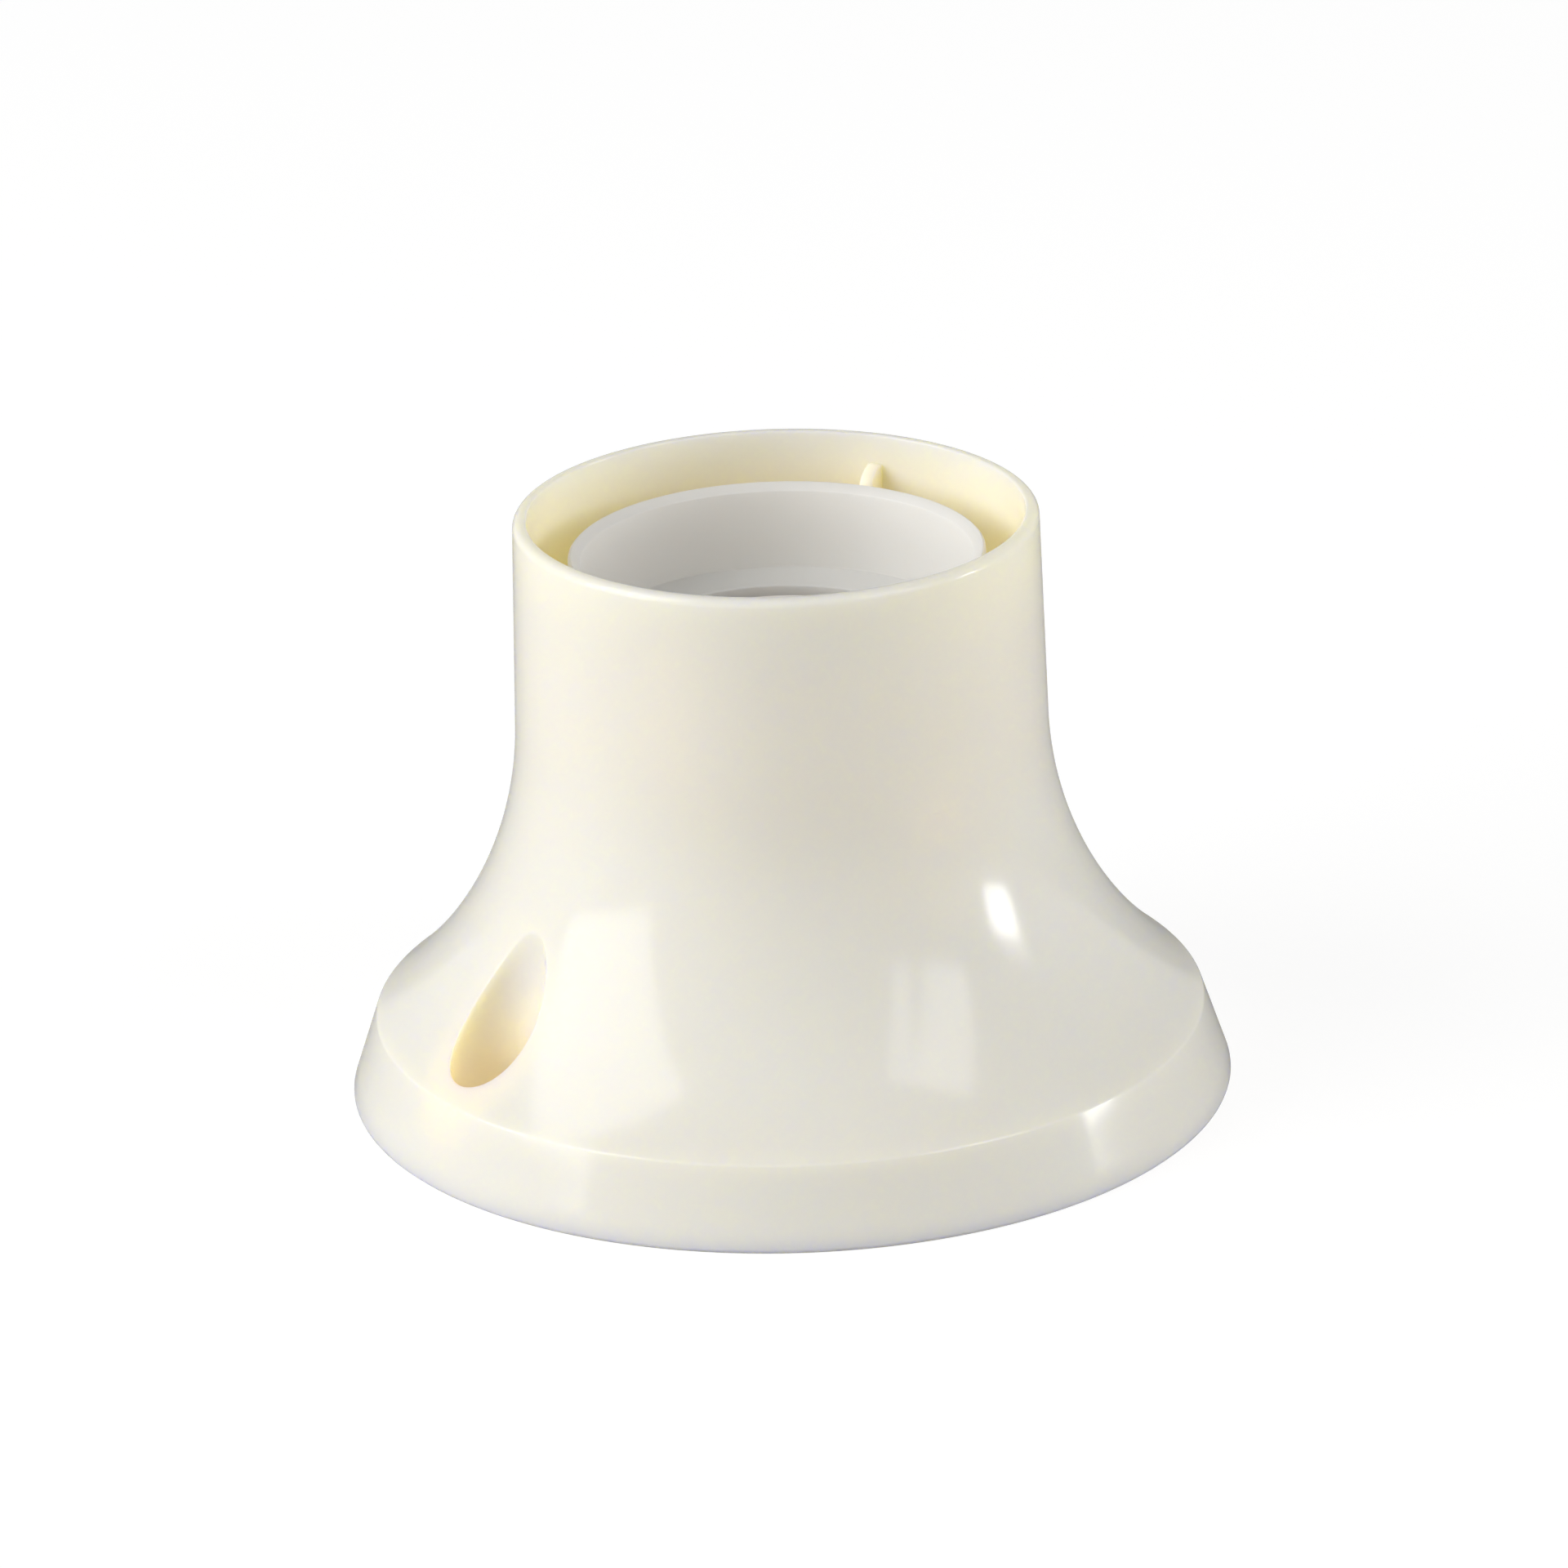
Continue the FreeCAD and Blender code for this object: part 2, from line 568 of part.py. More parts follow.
def slotted_screw(name, x, y, seat, head_radius, head_height, shank_radius, reach):
    """A pan-head screw that points up, with its head below the seat."""
    tip = shank_radius + " / 2"
    turned_screw = turned(name + "_turned", [
        ("0", "%s - %s" % (seat, head_height)),
        (head_radius + " - head_rounding", "%s - %s" % (seat, head_height)),
        (head_radius, "%s - %s + head_rounding" % (seat, head_height)),
        (head_radius, seat),
        (shank_radius, seat),
        (shank_radius, "%s + %s - %s" % (seat, reach, tip)),
        (tip, "%s + %s" % (seat, reach)),
        ("0", "%s + %s" % (seat, reach)),
    ])
    slot = box(name + "_slot", "slot_width", "3 * " + head_radius, "slot_depth + cut_overrun", "0", "0",
               "%s - %s - cut_overrun" % (seat, head_height))
    screw = cut(name, turned_screw, slot)
    place(screw, x, y)
    return screw


def terminal_plate(name, sign):
    start = "rivet_offset - plate_margin + rivet_fit"
    finish = "terminal_offset + plate_margin"
    length = "%s - (%s)" % (finish, start)
    middle = "%s(%s + %s) / 2" % (sign, start, finish)
    blank = box(name + "_blank", length, "plate_width", "plate_thickness", middle, "0", PLATE_LEVEL)
    depth = "3 * plate_thickness"
    level = PLATE_LEVEL + " - plate_thickness"
    bores = fuse(
        name + "_bores",
        cylinder(name + "_rivet_hole", "rivet_radius + rivet_fit", depth, sign + "rivet_offset", "0", level),
        cylinder(name + "_thread", "terminal_screw_radius + thread_fit", depth, sign + "terminal_offset", "0", level),
    )
    return cut(name, blank, bores)


def clamp_washer(name, sign):
    x = sign + "terminal_offset"
    blank = box(name + "_blank", "washer_side", "washer_side", "washer_thickness", x, "0", WASHER_LEVEL)
    hole = cylinder(name + "_hole", "terminal_screw_radius + rivet_fit", "3 * washer_thickness", x, "0",
                    WASHER_LEVEL + " - washer_thickness")
    return cut(name, blank, hole)


def contact_spring():
    """The leaf: a foot under the rivet, a slope and a tongue over the axis."""
    body = DOC.addObject("PartDesign::Body", "contact_leaf")
    sketch = new_sketch(body, "contact_leaf_side", "XZ_Plane")
    start = "-(rivet_offset + leaf_foot)"
    bend = "-(rivet_offset - leaf_foot)"
    tongue = "-(rivet_offset - leaf_foot - leaf_slope)"
    low = SPIGOT_TOP
    high = SPIGOT_TOP + " + leaf_rise"
    outline(sketch, [
        (start, low),
        (bend, low),
        (tongue, high),
        ("leaf_tip", high),
        ("leaf_tip", high + " + leaf_thickness"),
        (tongue + " - leaf_thickness / 3", high + " + leaf_thickness"),
        (bend + " - leaf_thickness / 3", low + " + leaf_thickness"),
        (start, low + " + leaf_thickness"),
    ])
    pad = body.newObject("PartDesign::Pad", "contact_leaf_pad")
    pad.Profile = sketch
    pad.Midplane = True
    bind(pad, "Length", "leaf_width")
    DOC.recompute()
    hole = cylinder("contact_leaf_hole", "rivet_radius + rivet_fit", "3 * leaf_thickness", "-rivet_offset", "0",
                    SPIGOT_TOP + " - leaf_thickness")
    return cut("centre_contact_spring", body, hole)


def contact_tip():
    low = SPIGOT_TOP + " + leaf_rise + leaf_thickness"
    return turned("centre_contact_tip", [
        ("0", low),
        ("tip_radius", low),
        ("tip_radius", low + " + tip_height - tip_rounding"),
        ("tip_radius - tip_rounding", low + " + tip_height"),
        ("0", low + " + tip_height"),
    ])


def fixing_screw(name, sign):
    reach = "(base_thickness + flange_thickness + fixing_screw_bite)"
    return slotted_screw(name, "0", sign + BOSS_OFFSET, "base_level", "fixing_head_radius",
                         "fixing_head_height", "fixing_screw_radius", reach)


def terminal_screw(name, sign):
    return slotted_screw(name, sign + "terminal_offset", "0", WASHER_LEVEL, "terminal_head_radius",
                         "terminal_head_height", "terminal_screw_radius", "terminal_screw_reach")


PARTS = {
    "bell_housing": bell_housing(),
    "socket_barrel": socket_barrel(),
    "terminal_base": terminal_base(),
    "screw_shell": screw_shell(),
    "centre_contact_spring": contact_spring(),
    "centre_contact_tip": contact_tip(),
    "live_terminal_plate": terminal_plate("live_terminal_plate", "-"),
    "neutral_terminal_plate": terminal_plate("neutral_terminal_plate", ""),
    "live_rivet": rivet("live_rivet", "-rivet_offset", SPIGOT_TOP + " + leaf_thickness"),
    "neutral_rivet": rivet("neutral_rivet", "rivet_offset", SPIGOT_TOP + " + shell_wall"),
    "live_clamp_washer": clamp_washer("live_clamp_washer", "-"),
    "neutral_clamp_washer": clamp_washer("neutral_clamp_washer", ""),
    "live_terminal_screw": terminal_screw("live_terminal_screw", "-"),
    "neutral_terminal_screw": terminal_screw("neutral_terminal_screw", ""),
    "fixing_screw_1": fixing_screw("fixing_screw_1", ""),
    "fixing_screw_2": fixing_screw("fixing_screw_2", "-"),
}

DOC.recompute()
for obj in DOC.Objects:
    if "Invalid" in obj.State or "Error" in obj.State:
        raise RuntimeError("%s did not recompute" % obj.Name)

os.makedirs("parts", exist_ok=True)
for node, obj in PARTS.items():
    obj.Label = node
    if obj.Shape.isNull() or not obj.Shape.isValid() or len(obj.Shape.Solids) != 1:
        raise RuntimeError("%s is not one sound solid" % node)
    print("%-24s volume %10.2f" % (node, obj.Shape.Volume))
for node, obj in PARTS.items():
    obj.Shape.exportStep("parts/%s.step" % node)
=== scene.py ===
import math

import bmesh
import bpy
from mathutils import Matrix, Vector

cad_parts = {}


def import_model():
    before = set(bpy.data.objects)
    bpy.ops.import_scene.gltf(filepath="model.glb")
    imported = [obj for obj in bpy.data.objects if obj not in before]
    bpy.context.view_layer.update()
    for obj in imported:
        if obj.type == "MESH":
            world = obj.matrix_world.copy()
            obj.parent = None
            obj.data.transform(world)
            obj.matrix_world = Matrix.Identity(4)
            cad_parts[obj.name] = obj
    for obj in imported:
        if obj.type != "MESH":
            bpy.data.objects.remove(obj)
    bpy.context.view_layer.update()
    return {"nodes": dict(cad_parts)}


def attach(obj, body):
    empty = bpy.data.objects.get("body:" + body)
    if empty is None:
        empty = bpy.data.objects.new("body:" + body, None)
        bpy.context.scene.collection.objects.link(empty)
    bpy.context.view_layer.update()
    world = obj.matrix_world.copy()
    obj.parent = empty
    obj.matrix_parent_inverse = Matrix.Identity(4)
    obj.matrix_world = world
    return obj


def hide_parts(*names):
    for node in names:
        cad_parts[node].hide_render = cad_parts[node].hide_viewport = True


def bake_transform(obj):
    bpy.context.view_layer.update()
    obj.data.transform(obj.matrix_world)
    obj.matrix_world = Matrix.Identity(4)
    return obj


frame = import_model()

# Surface lamp holder: a glossy moulded bell with two screw wells in its flare,
# a pale insulating barrel inside its mouth and a rolled screw shell below.
# Sizes are in millimetres and become metres as each mesh is made.
MM = 0.001
TAU = 2 * math.pi

# ---------------------------------------------------------------- sizes
HOUSING_HEIGHT = 55.4
MOUTH_RADIUS = 23.95
RIM_INSIDE = 22.7
NECK_RADIUS = 24.47
NECK_HEIGHT = 35.6
SHOULDER_RADIUS = 38.47
SHOULDER_HEIGHT = 7.5
FOOT_RADIUS = 41.0
HOUSING_WALL = 1.6
WELL_OFFSET = 32.3
WELL_RADIUS = 4.55
WELL_WALL = 1.6
WELL_FLOOR = 3.0
LIP_ROUNDING = 0.17
MOUNTING_HOLE = 2.2
FIN_ANGLE = math.radians(30.4)
FIN_INNER = 19.8
FIN_THICKNESS = 1.3
FIN_TOP = 52.6
FIN_FOOT = 36.9
FIN_BITE = 0.6        # how far a fin runs into the wall
FIN_ROUNDING = 2.75   # round inner corner at a fin's top
PATCH_OUT = 37.9      # outer flare: the rows a well breaks through
PATCH_IN = 26.3
INNER_PATCH_IN = 24.4  # the same rows on the inner flare
INNER_PATCH_OUT = 39.2
BARREL_RADIUS = 19.3
BARREL_TOP = 51.8
BARREL_FOOT = 18.0
LEDGE_LEVEL = 43.9
LEDGE_RADIUS = 17.2
LEDGE_INNER_LEVEL = 43.4  # the ledge falls a little towards the hole
RIM_STEP_RADIUS = 17.95
RIM_STEP_LEVEL = 51.1
RIM_LAND_RADIUS = 18.8
SLOT_OUTSIDE = 17.7   # hollow between the barrel's wall and its inner sleeve
SLOT_INSIDE = 15.15
HOLE_RADIUS = 13.45
SEAT_RADIUS = 13.75
SHELL_RADIUS = 13.65
SHELL_TOP = 42.2
SHELL_FOOT = 22.0
SHELL_WALL = 0.3
SHELL_LIP_INSIDE = 12.25
SHELL_LIP_OUTSIDE = 13.5
THREAD_PITCH = 3.63
THREAD_DEPTH = 1.1
PLAIN_FOOT = 4.2      # height of the shell below its thread
LEAF_START = -10.8
LEAF_END = 2.7
LEAF_UNDERSIDE = 23.7
LEAF_TOP = 24.2
BUTTON_RADIUS = 2.2
BUTTON_EDGE = 24.55
BUTTON_RISE = 0.55
BOSS_OFFSET = 22.6
BOSS_RADIUS = 3.0
BOSS_BORE = 1.5
BOSS_FOOT = 21.0
BOSS_TOP = 34.0
WALL_BITE = 0.7       # how far ribs and bosses run into the housing wall
BASE_LEVEL = 13.0

COLUMNS = 288        # round the bell
WELL_SPAN = 12       # columns each side of a well's patch
WELL_ROWS = 24       # rows of a well's patch
WELL_RING = 4 * WELL_SPAN + 2 * WELL_ROWS

# Depths that steer the painted warm colour and glow in the mouth and the screw wells.
RECESS_DEPTH = 9.0    # depth at which a recess is marked in full
WELL_MARK_TOP = 16.0
WELL_MARK_SHARE = 0.75  # a well is marked less than the mouth
MOUTH_REACH = 20.0    # how far below the neck the mouth's inside is marked

# Turns a flat outline so that its second axis stands up.
UPRIGHT = Matrix.Rotation(math.radians(90), 4, "X")


# ---------------------------------------------------------------- profiles
def flare():
    """Centre and radius of the concave arc that runs tangent into the neck."""
    neck = Vector((NECK_RADIUS, NECK_HEIGHT))
    rise = (Vector((MOUTH_RADIUS, HOUSING_HEIGHT)) - neck).normalized()
    outward = Vector((rise.y, -rise.x))
    chord = Vector((SHOULDER_RADIUS, SHOULDER_HEIGHT)) - neck
    radius = chord.dot(chord) / (2 * chord.dot(outward))
    return neck + outward * radius, radius


FLARE_CENTRE, FLARE_RADIUS = flare()
INNER_NECK = Vector((NECK_RADIUS - HOUSING_WALL, NECK_HEIGHT))
INNER_FLARE_RADIUS = (INNER_NECK - FLARE_CENTRE).length
INNER_FOOT = FOOT_RADIUS - HOUSING_WALL
BAND_SLOPE = SHOULDER_HEIGHT / (SHOULDER_RADIUS - FOOT_RADIUS)


def arc_height(r, radius):
    return FLARE_CENTRE.y - math.sqrt(max(radius ** 2 - (r - FLARE_CENTRE.x) ** 2, 0.0))


def outer_height(r):
    """Height of the bell's outer flare over a radius."""
    return arc_height(r, FLARE_RADIUS)


def inner_height(r):
    """Height of the bell's inner flare, or of the inside of the band."""
    return min(arc_height(r, INNER_FLARE_RADIUS), (r - INNER_FOOT) * BAND_SLOPE)


def wall_inside(z):
    """Radius of the housing's inside below the neck, at a height."""
    return FLARE_CENTRE.x - math.sqrt(INNER_FLARE_RADIUS ** 2 - (z - FLARE_CENTRE.y) ** 2)


def keep_in_wall(vert):
    """Draws a point that passes through the housing's wall back into it."""
    limit = (wall_inside(vert.co.z / MM) + WALL_BITE) * MM
    reach = math.hypot(vert.co.x, vert.co.y)
    if reach > limit:
        vert.co.x *= limit / reach
        vert.co.y *= limit / reach


def inner_shoulder():
    low, high = INNER_NECK.x + 1.0, INNER_FOOT
    for _ in range(60):
        middle = (low + high) / 2
        if arc_height(middle, INNER_FLARE_RADIUS) > (middle - INNER_FOOT) * BAND_SLOPE:
            high = middle
        else:
            low = middle
    return low


def steps(first, last, count, skip_first=False):
    start = 1 if skip_first else 0
    return [first + (last - first) * i / count for i in range(start, count + 1)]


def corner(before, point, after, radius, count):
    """A corner of a profile, rounded to a radius."""
    a = (Vector(before) - Vector(point)).normalized()
    b = (Vector(after) - Vector(point)).normalized()
    half = a.angle(b) / 2
    reach = radius / math.tan(half)
    centre = Vector(point) + (a + b).normalized() * (radius / math.sin(half))
    start = Vector(point) + a * reach - centre
    finish = Vector(point) + b * reach - centre
    turn = start.angle_signed(finish)
    out = []
    for i in range(count + 1):
        angle = -turn * i / count
        c, s = math.cos(angle), math.sin(angle)
        out.append((centre.x + start.x * c - start.y * s, centre.y + start.x * s + start.y * c))
    return out


def along(start, end, shares):
    """Points of a straight line, at shares of its length."""
    return [(start[0] + (end[0] - start[0]) * t, start[1] + (end[1] - start[1]) * t) for t in shares]


def profile(points):
    """A profile from (radius, height, rounding) points, closed on itself."""
    out = []
    for i, (r, z, rounding) in enumerate(points):
        if rounding:
            before, after = points[i - 1], points[(i + 1) % len(points)]
            out += corner(before[:2], (r, z), after[:2], rounding, 4)
        else:
            out.append((r, z))
    return out


# ---------------------------------------------------------------- mesh helpers
def make_object(name, bm, smooth=35.0):
    bmesh.ops.recalc_face_normals(bm, faces=bm.faces[:])
    mesh = bpy.data.meshes.new(name)
    bm.to_mesh(mesh)
    bm.free()
    mesh.shade_smooth()
    mesh.set_sharp_from_angle(angle=math.radians(smooth))
    obj = bpy.data.objects.new(name, mesh)
    bpy.context.scene.collection.objects.link(obj)
    return obj


def unite(body, additions, smooth=35.0):
    """Joins closed solids into one shell, with no faces left inside it."""
    for addition in additions:
        union = body.modifiers.new("union", "BOOLEAN")
        union.operation = "UNION"
        union.solver = "MANIFOLD"
        union.object = addition
    bpy.context.view_layer.update()
    evaluated = body.evaluated_get(bpy.context.evaluated_depsgraph_get())
    mesh = bpy.data.meshes.new_from_object(evaluated)
    body.modifiers.clear()
    body.data = mesh
    mesh.name = body.name
    for addition in additions:
        bpy.data.objects.remove(addition)
    mesh.shade_smooth()
    mesh.set_sharp_from_angle(angle=math.radians(smooth))
    return body


def ring(bm, radius, level, count, centre=(0.0, 0.0)):
    return [
        bm.verts.new((
            (centre[0] + radius * math.cos(TAU * i / count)) * MM,
            (centre[1] + radius * math.sin(TAU * i / count)) * MM,
            level * MM,
        ))
        for i in range(count)
    ]


def bridge(bm, first, second):
    """Quads between two rings of as many vertices."""
    count = len(first)
    for i in range(count):
        k = (i + 1) % count
        bm.faces.new((first[i], first[k], second[k], second[i]))


def spin_profile(bm, points, count, centre=(0.0, 0.0), closed=True):
    """A turned form. A closed profile makes a tube; an open one ends on the axis."""
    rings = []
    for r, z in points:
        if r < 1e-6:
            rings.append(bm.verts.new((centre[0] * MM, centre[1] * MM, z * MM)))
        else:
            rings.append(ring(bm, r, z, count, centre))
    pairs = list(zip(rings, rings[1:]))
    if closed:
        pairs.append((rings[-1], rings[0]))
    for first, second in pairs:
        if not isinstance(first, list):
            first, second = second, first
        if isinstance(second, list):
            bridge(bm, first, second)
        elif isinstance(first, list):
            for i in range(count):
                bm.faces.new((second, first[i], first[(i + 1) % count]))


def prism(bm, outline, low, high, place=Matrix.Identity(4), bevel=0.0, segments=2):
    """A flat outline raised from low to high, with its edges rounded."""
    bottom = [bm.verts.new(place @ Vector((x * MM, y * MM, low * MM))) for x, y in outline]
    top = [bm.verts.new(place @ Vector((x * MM, y * MM, high * MM))) for x, y in outline]
    faces = [bm.faces.new(bottom[::-1]), bm.faces.new(top)]
    for i in range(len(outline)):
        k = (i + 1) % len(outline)
        faces.append(bm.faces.new((bottom[i], bottom[k], top[k], top[i])))
    if bevel:
        edges = set(faces[0].edges) | set(faces[1].edges)
        bmesh.ops.bevel(
            bm, geom=list(edges), offset=bevel * MM, segments=segments,
            profile=0.5, affect="EDGES", clamp_overlap=True,
        )


def rectangle(length, width, x=0.0, y=0.0, rounding=0.0):
    """Corners of a rectangle about a point, rounded if asked."""
    a, b = length / 2, width / 2
    if not rounding:
        return [(x - a, y - b), (x + a, y - b), (x + a, y + b), (x - a, y + b)]
    out = []
    for cx, cy, start in ((a, b, 0), (-a, b, 90), (-a, -b, 180), (a, -b, 270)):
        mx = x + cx - math.copysign(rounding, cx)
        my = y + cy - math.copysign(rounding, cy)
        for i in range(5):
            angle = math.radians(start + 22.5 * i)
            out.append((mx + rounding * math.cos(angle), my + rounding * math.sin(angle)))
    return out


# ---------------------------------------------------------------- bell housing
def bell_rows():
    """The closed section of the bell, and where its two well patches lie."""
    shoulder = (SHOULDER_RADIUS, SHOULDER_HEIGHT)
    foot_edge = corner((INNER_FOOT, 0), (FOOT_RADIUS, 0), shoulder, 0.32, 4)
    next_out = (SHOULDER_RADIUS - 0.3, outer_height(SHOULDER_RADIUS - 0.3))
    shoulder_edge = corner(foot_edge[-1], shoulder, next_out, 0.6, 6)
    rows = list(foot_edge)
    rows += along(foot_edge[-1], shoulder_edge[0], (0.25, 0.5, 0.75))
    rows += shoulder_edge
    outer_start = len(rows)
    rows += [(r, outer_height(r)) for r in steps(PATCH_OUT, PATCH_IN, WELL_ROWS)]
    low = math.atan2(outer_height(PATCH_IN) - FLARE_CENTRE.y, PATCH_IN - FLARE_CENTRE.x) % TAU
    high = math.atan2(NECK_HEIGHT - FLARE_CENTRE.y, NECK_RADIUS - FLARE_CENTRE.x) % TAU
    for t in steps(0.0, 1.0, 14, skip_first=True):
        at = low + (high - low) * t
        r = FLARE_CENTRE.x + FLARE_RADIUS * math.cos(at)
        rows.append((r, FLARE_CENTRE.y + FLARE_RADIUS * math.sin(at)))
    mouth = (MOUTH_RADIUS, HOUSING_HEIGHT)
    inside = (RIM_INSIDE, HOUSING_HEIGHT)
    rim_edge = corner((NECK_RADIUS, NECK_HEIGHT), mouth, inside, 0.8, 8)
    inside_edge = corner(mouth, inside, (INNER_NECK.x, INNER_NECK.y), 0.22, 4)
    levels = steps(0.0, 1.0, 9, skip_first=True)
    rows += along((NECK_RADIUS, NECK_HEIGHT), rim_edge[0], levels[:-1])
    rows += rim_edge + inside_edge
    rows += along(inside_edge[-1], INNER_NECK, levels)
    rows += [(r, inner_height(r)) for r in steps(INNER_NECK.x, INNER_PATCH_IN, 10, skip_first=True)[:-1]]
    inner_start = len(rows)
    kink = inner_shoulder()
    rows += [(r, inner_height(r)) for r in steps(INNER_PATCH_IN, kink, WELL_ROWS - 4)]
    rows += [(r, inner_height(r)) for r in steps(kink, INNER_PATCH_OUT, 4, skip_first=True)]
    rows.append((INNER_FOOT, 0.0))
    return rows, outer_start, inner_start


def patch_border(grid, rows, column):
    """The border of a well's patch, from its outermost point round."""
    def around(offset):
        return (column + offset) % COLUMNS

    far, near = rows[0], rows[-1]
    border = [grid[far][around(i)] for i in range(0, WELL_SPAN)]
    border += [grid[row][around(WELL_SPAN)] for row in rows[:-1]]
    border += [grid[near][around(i)] for i in range(WELL_SPAN, -WELL_SPAN, -1)]
    border += [grid[row][around(-WELL_SPAN)] for row in rows[:0:-1]]
    border += [grid[far][around(i)] for i in range(-WELL_SPAN, 0)]
    return border


def well_point(turn, k, radius):
    """A point of a circle about the well axis; 0 is outwards from the lamp axis."""
    angle = turn + TAU * k / WELL_RING
    x = WELL_OFFSET * math.cos(turn) + radius * math.cos(angle)
    y = WELL_OFFSET * math.sin(turn) + radius * math.sin(angle)
    return Vector((x, y))


def well_patch(bm, border, turn, radius, height, layers=9):
    """Rings that spread from the well's circle to the border of its patch."""
    circle = [well_point(turn, k, radius) for k in range(WELL_RING)]
    rings = []
    for layer in range(layers):
        share = (layer / layers) ** 1.25
        loop = []
        for k in range(WELL_RING):
            edge = Vector((border[k].co.x / MM, border[k].co.y / MM))
            at = circle[k].lerp(edge, share)
            loop.append(bm.verts.new((at.x * MM, at.y * MM, height(at.length) * MM)))
        rings.append(loop)
    rings.append(border)
    for first, second in zip(rings, rings[1:]):
        bridge(bm, first, second)
    return rings[0]


def well_walls(bm, outer_ring, inner_ring, turn):
    """From the lip down the bore, through the floor and up the outside of the tube."""
    lip = LIP_ROUNDING
    loops = [outer_ring]

    def loop_at(place):
        loop = []
        for k in range(WELL_RING):
            radius, level = place(k)
            at = well_point(turn, k, radius)
            loop.append(bm.verts.new((at.x * MM, at.y * MM, level * MM)))
        loops.append(loop)

    top = [outer_height(well_point(turn, k, WELL_RADIUS).length) for k in range(WELL_RING)]
    edge = [outer_height(well_point(turn, k, WELL_RADIUS + lip).length) for k in range(WELL_RING)]
    for t in (0.25, 0.5, 0.75, 1.0):
        a, b, c = (1 - t) ** 2, 2 * t * (1 - t), t ** 2
        loop_at(lambda k: (
            a * (WELL_RADIUS + lip) + (b + c) * WELL_RADIUS,
            a * edge[k] + b * top[k] + c * (top[k] - 1.3 * lip),
        ))
    for t in steps(0.0, 1.0, 12, skip_first=True):
        loop_at(lambda k: (WELL_RADIUS, (top[k] - 1.3 * lip) * (1 - t) + (WELL_FLOOR + 0.5) * t))
    for radius, level in corner((WELL_RADIUS, 9), (WELL_RADIUS, WELL_FLOOR), (0, WELL_FLOOR), 0.5, 4)[1:]:
        loop_at(lambda k: (radius, level))
    mouth = corner((WELL_RADIUS, WELL_FLOOR), (MOUNTING_HOLE, WELL_FLOOR), (MOUNTING_HOLE, 0), 0.15, 3)
    outside = WELL_RADIUS + WELL_WALL
    lower = corner((MOUNTING_HOLE, WELL_FLOOR), (MOUNTING_HOLE, 0), (outside, 0), 0.15, 3)
    rim = corner((MOUNTING_HOLE, 0), (outside, 0), (outside, 9), 0.3, 4)
    for radius, level in mouth + lower + rim:
        loop_at(lambda k: (radius, level))
    reach = [inner_height(well_point(turn, k, outside).length) for k in range(WELL_RING)]
    for t in steps(0.0, 1.0, 12, skip_first=True)[:-1]:
        loop_at(lambda k: (outside, 0.3 * (1 - t) + reach[k] * t))
    loops.append(inner_ring)
    for first, second in zip(loops, loops[1:]):
        bridge(bm, first, second)


def fin_outline():
    """Side view of a fin: foot, inner edge and rounded top."""
    outer = RIM_INSIDE + FIN_BITE
    points = [(outer, FIN_FOOT), (outer, FIN_TOP)]
    for i in range(9):
        angle = math.radians(90 + 90 * i / 8)
        x = FIN_INNER + FIN_ROUNDING + FIN_ROUNDING * math.cos(angle)
        points.append((x, FIN_TOP - FIN_ROUNDING + FIN_ROUNDING * math.sin(angle)))
    points.append((FIN_INNER, FIN_FOOT))
    return points


def bell_housing():
    rows, outer_start, inner_start = bell_rows()
    bm = bmesh.new()
    grid = [ring(bm, r, z, COLUMNS) for r, z in rows]
    outer_rows = list(range(outer_start, outer_start + WELL_ROWS + 1))
    inner_rows = list(range(inner_start + WELL_ROWS, inner_start - 1, -1))
    inside = set(outer_rows[:-1]) | set(inner_rows[1:])
    open_columns = {(c + i) % COLUMNS for c in (0, COLUMNS // 2) for i in range(-WELL_SPAN, WELL_SPAN)}
    for i in range(len(rows)):
        following = (i + 1) % len(rows)
        for j in range(COLUMNS):
            if i in inside and j in open_columns:
                continue
            k = (j + 1) % COLUMNS
            bm.faces.new((grid[i][j], grid[i][k], grid[following][k], grid[following][j]))
    for column, turn in ((0, 0.0), (COLUMNS // 2, math.pi)):
        outer_border = patch_border(grid, outer_rows, column)
        inner_border = patch_border(grid, inner_rows, column)
        outer_ring = well_patch(bm, outer_border, turn, WELL_RADIUS + LIP_ROUNDING, outer_height)
        inner_ring = well_patch(bm, inner_border, turn, WELL_RADIUS + WELL_WALL, inner_height)
        well_walls(bm, outer_ring, inner_ring, turn)
    return unite(make_object("bell_housing_body", bm), fins() + screw_bosses())


def mark_recesses(body):
    """Stores how deep each point lies in the mouth or in a screw well, from 0 to 1, for the painted warm
    colour and glow of the cream moulding.
    """
    mark = body.data.attributes.new("recess", "FLOAT", "POINT")
    for point, value in zip(body.data.vertices, mark.data):
        x, y, z = (part / MM for part in point.co)
        in_mouth = math.hypot(x, y) < RIM_INSIDE + 0.3 and z > INNER_NECK.y - MOUTH_REACH
        in_well = math.hypot(abs(x) - WELL_OFFSET, y) < WELL_RADIUS + 0.05 and z > WELL_FLOOR - 0.1
        top, fullest = (HOUSING_HEIGHT, 1.0) if in_mouth else (WELL_MARK_TOP, WELL_MARK_SHARE)
        depth = (top - z) / RECESS_DEPTH
        value.value = min(max(depth, 0.0), fullest) if in_mouth or in_well else 0.0
    return body


def fins():
    """Two upright fins inside the mouth that steady the barrel."""
    made = []
    for turn in (FIN_ANGLE, FIN_ANGLE + math.pi):
        bm = bmesh.new()
        place = Matrix.Rotation(turn, 4, "Z") @ UPRIGHT
        prism(bm, fin_outline(), -FIN_THICKNESS / 2, FIN_THICKNESS / 2, place, 0.18, 3)
        made.append(make_object("fin", bm))
    return made


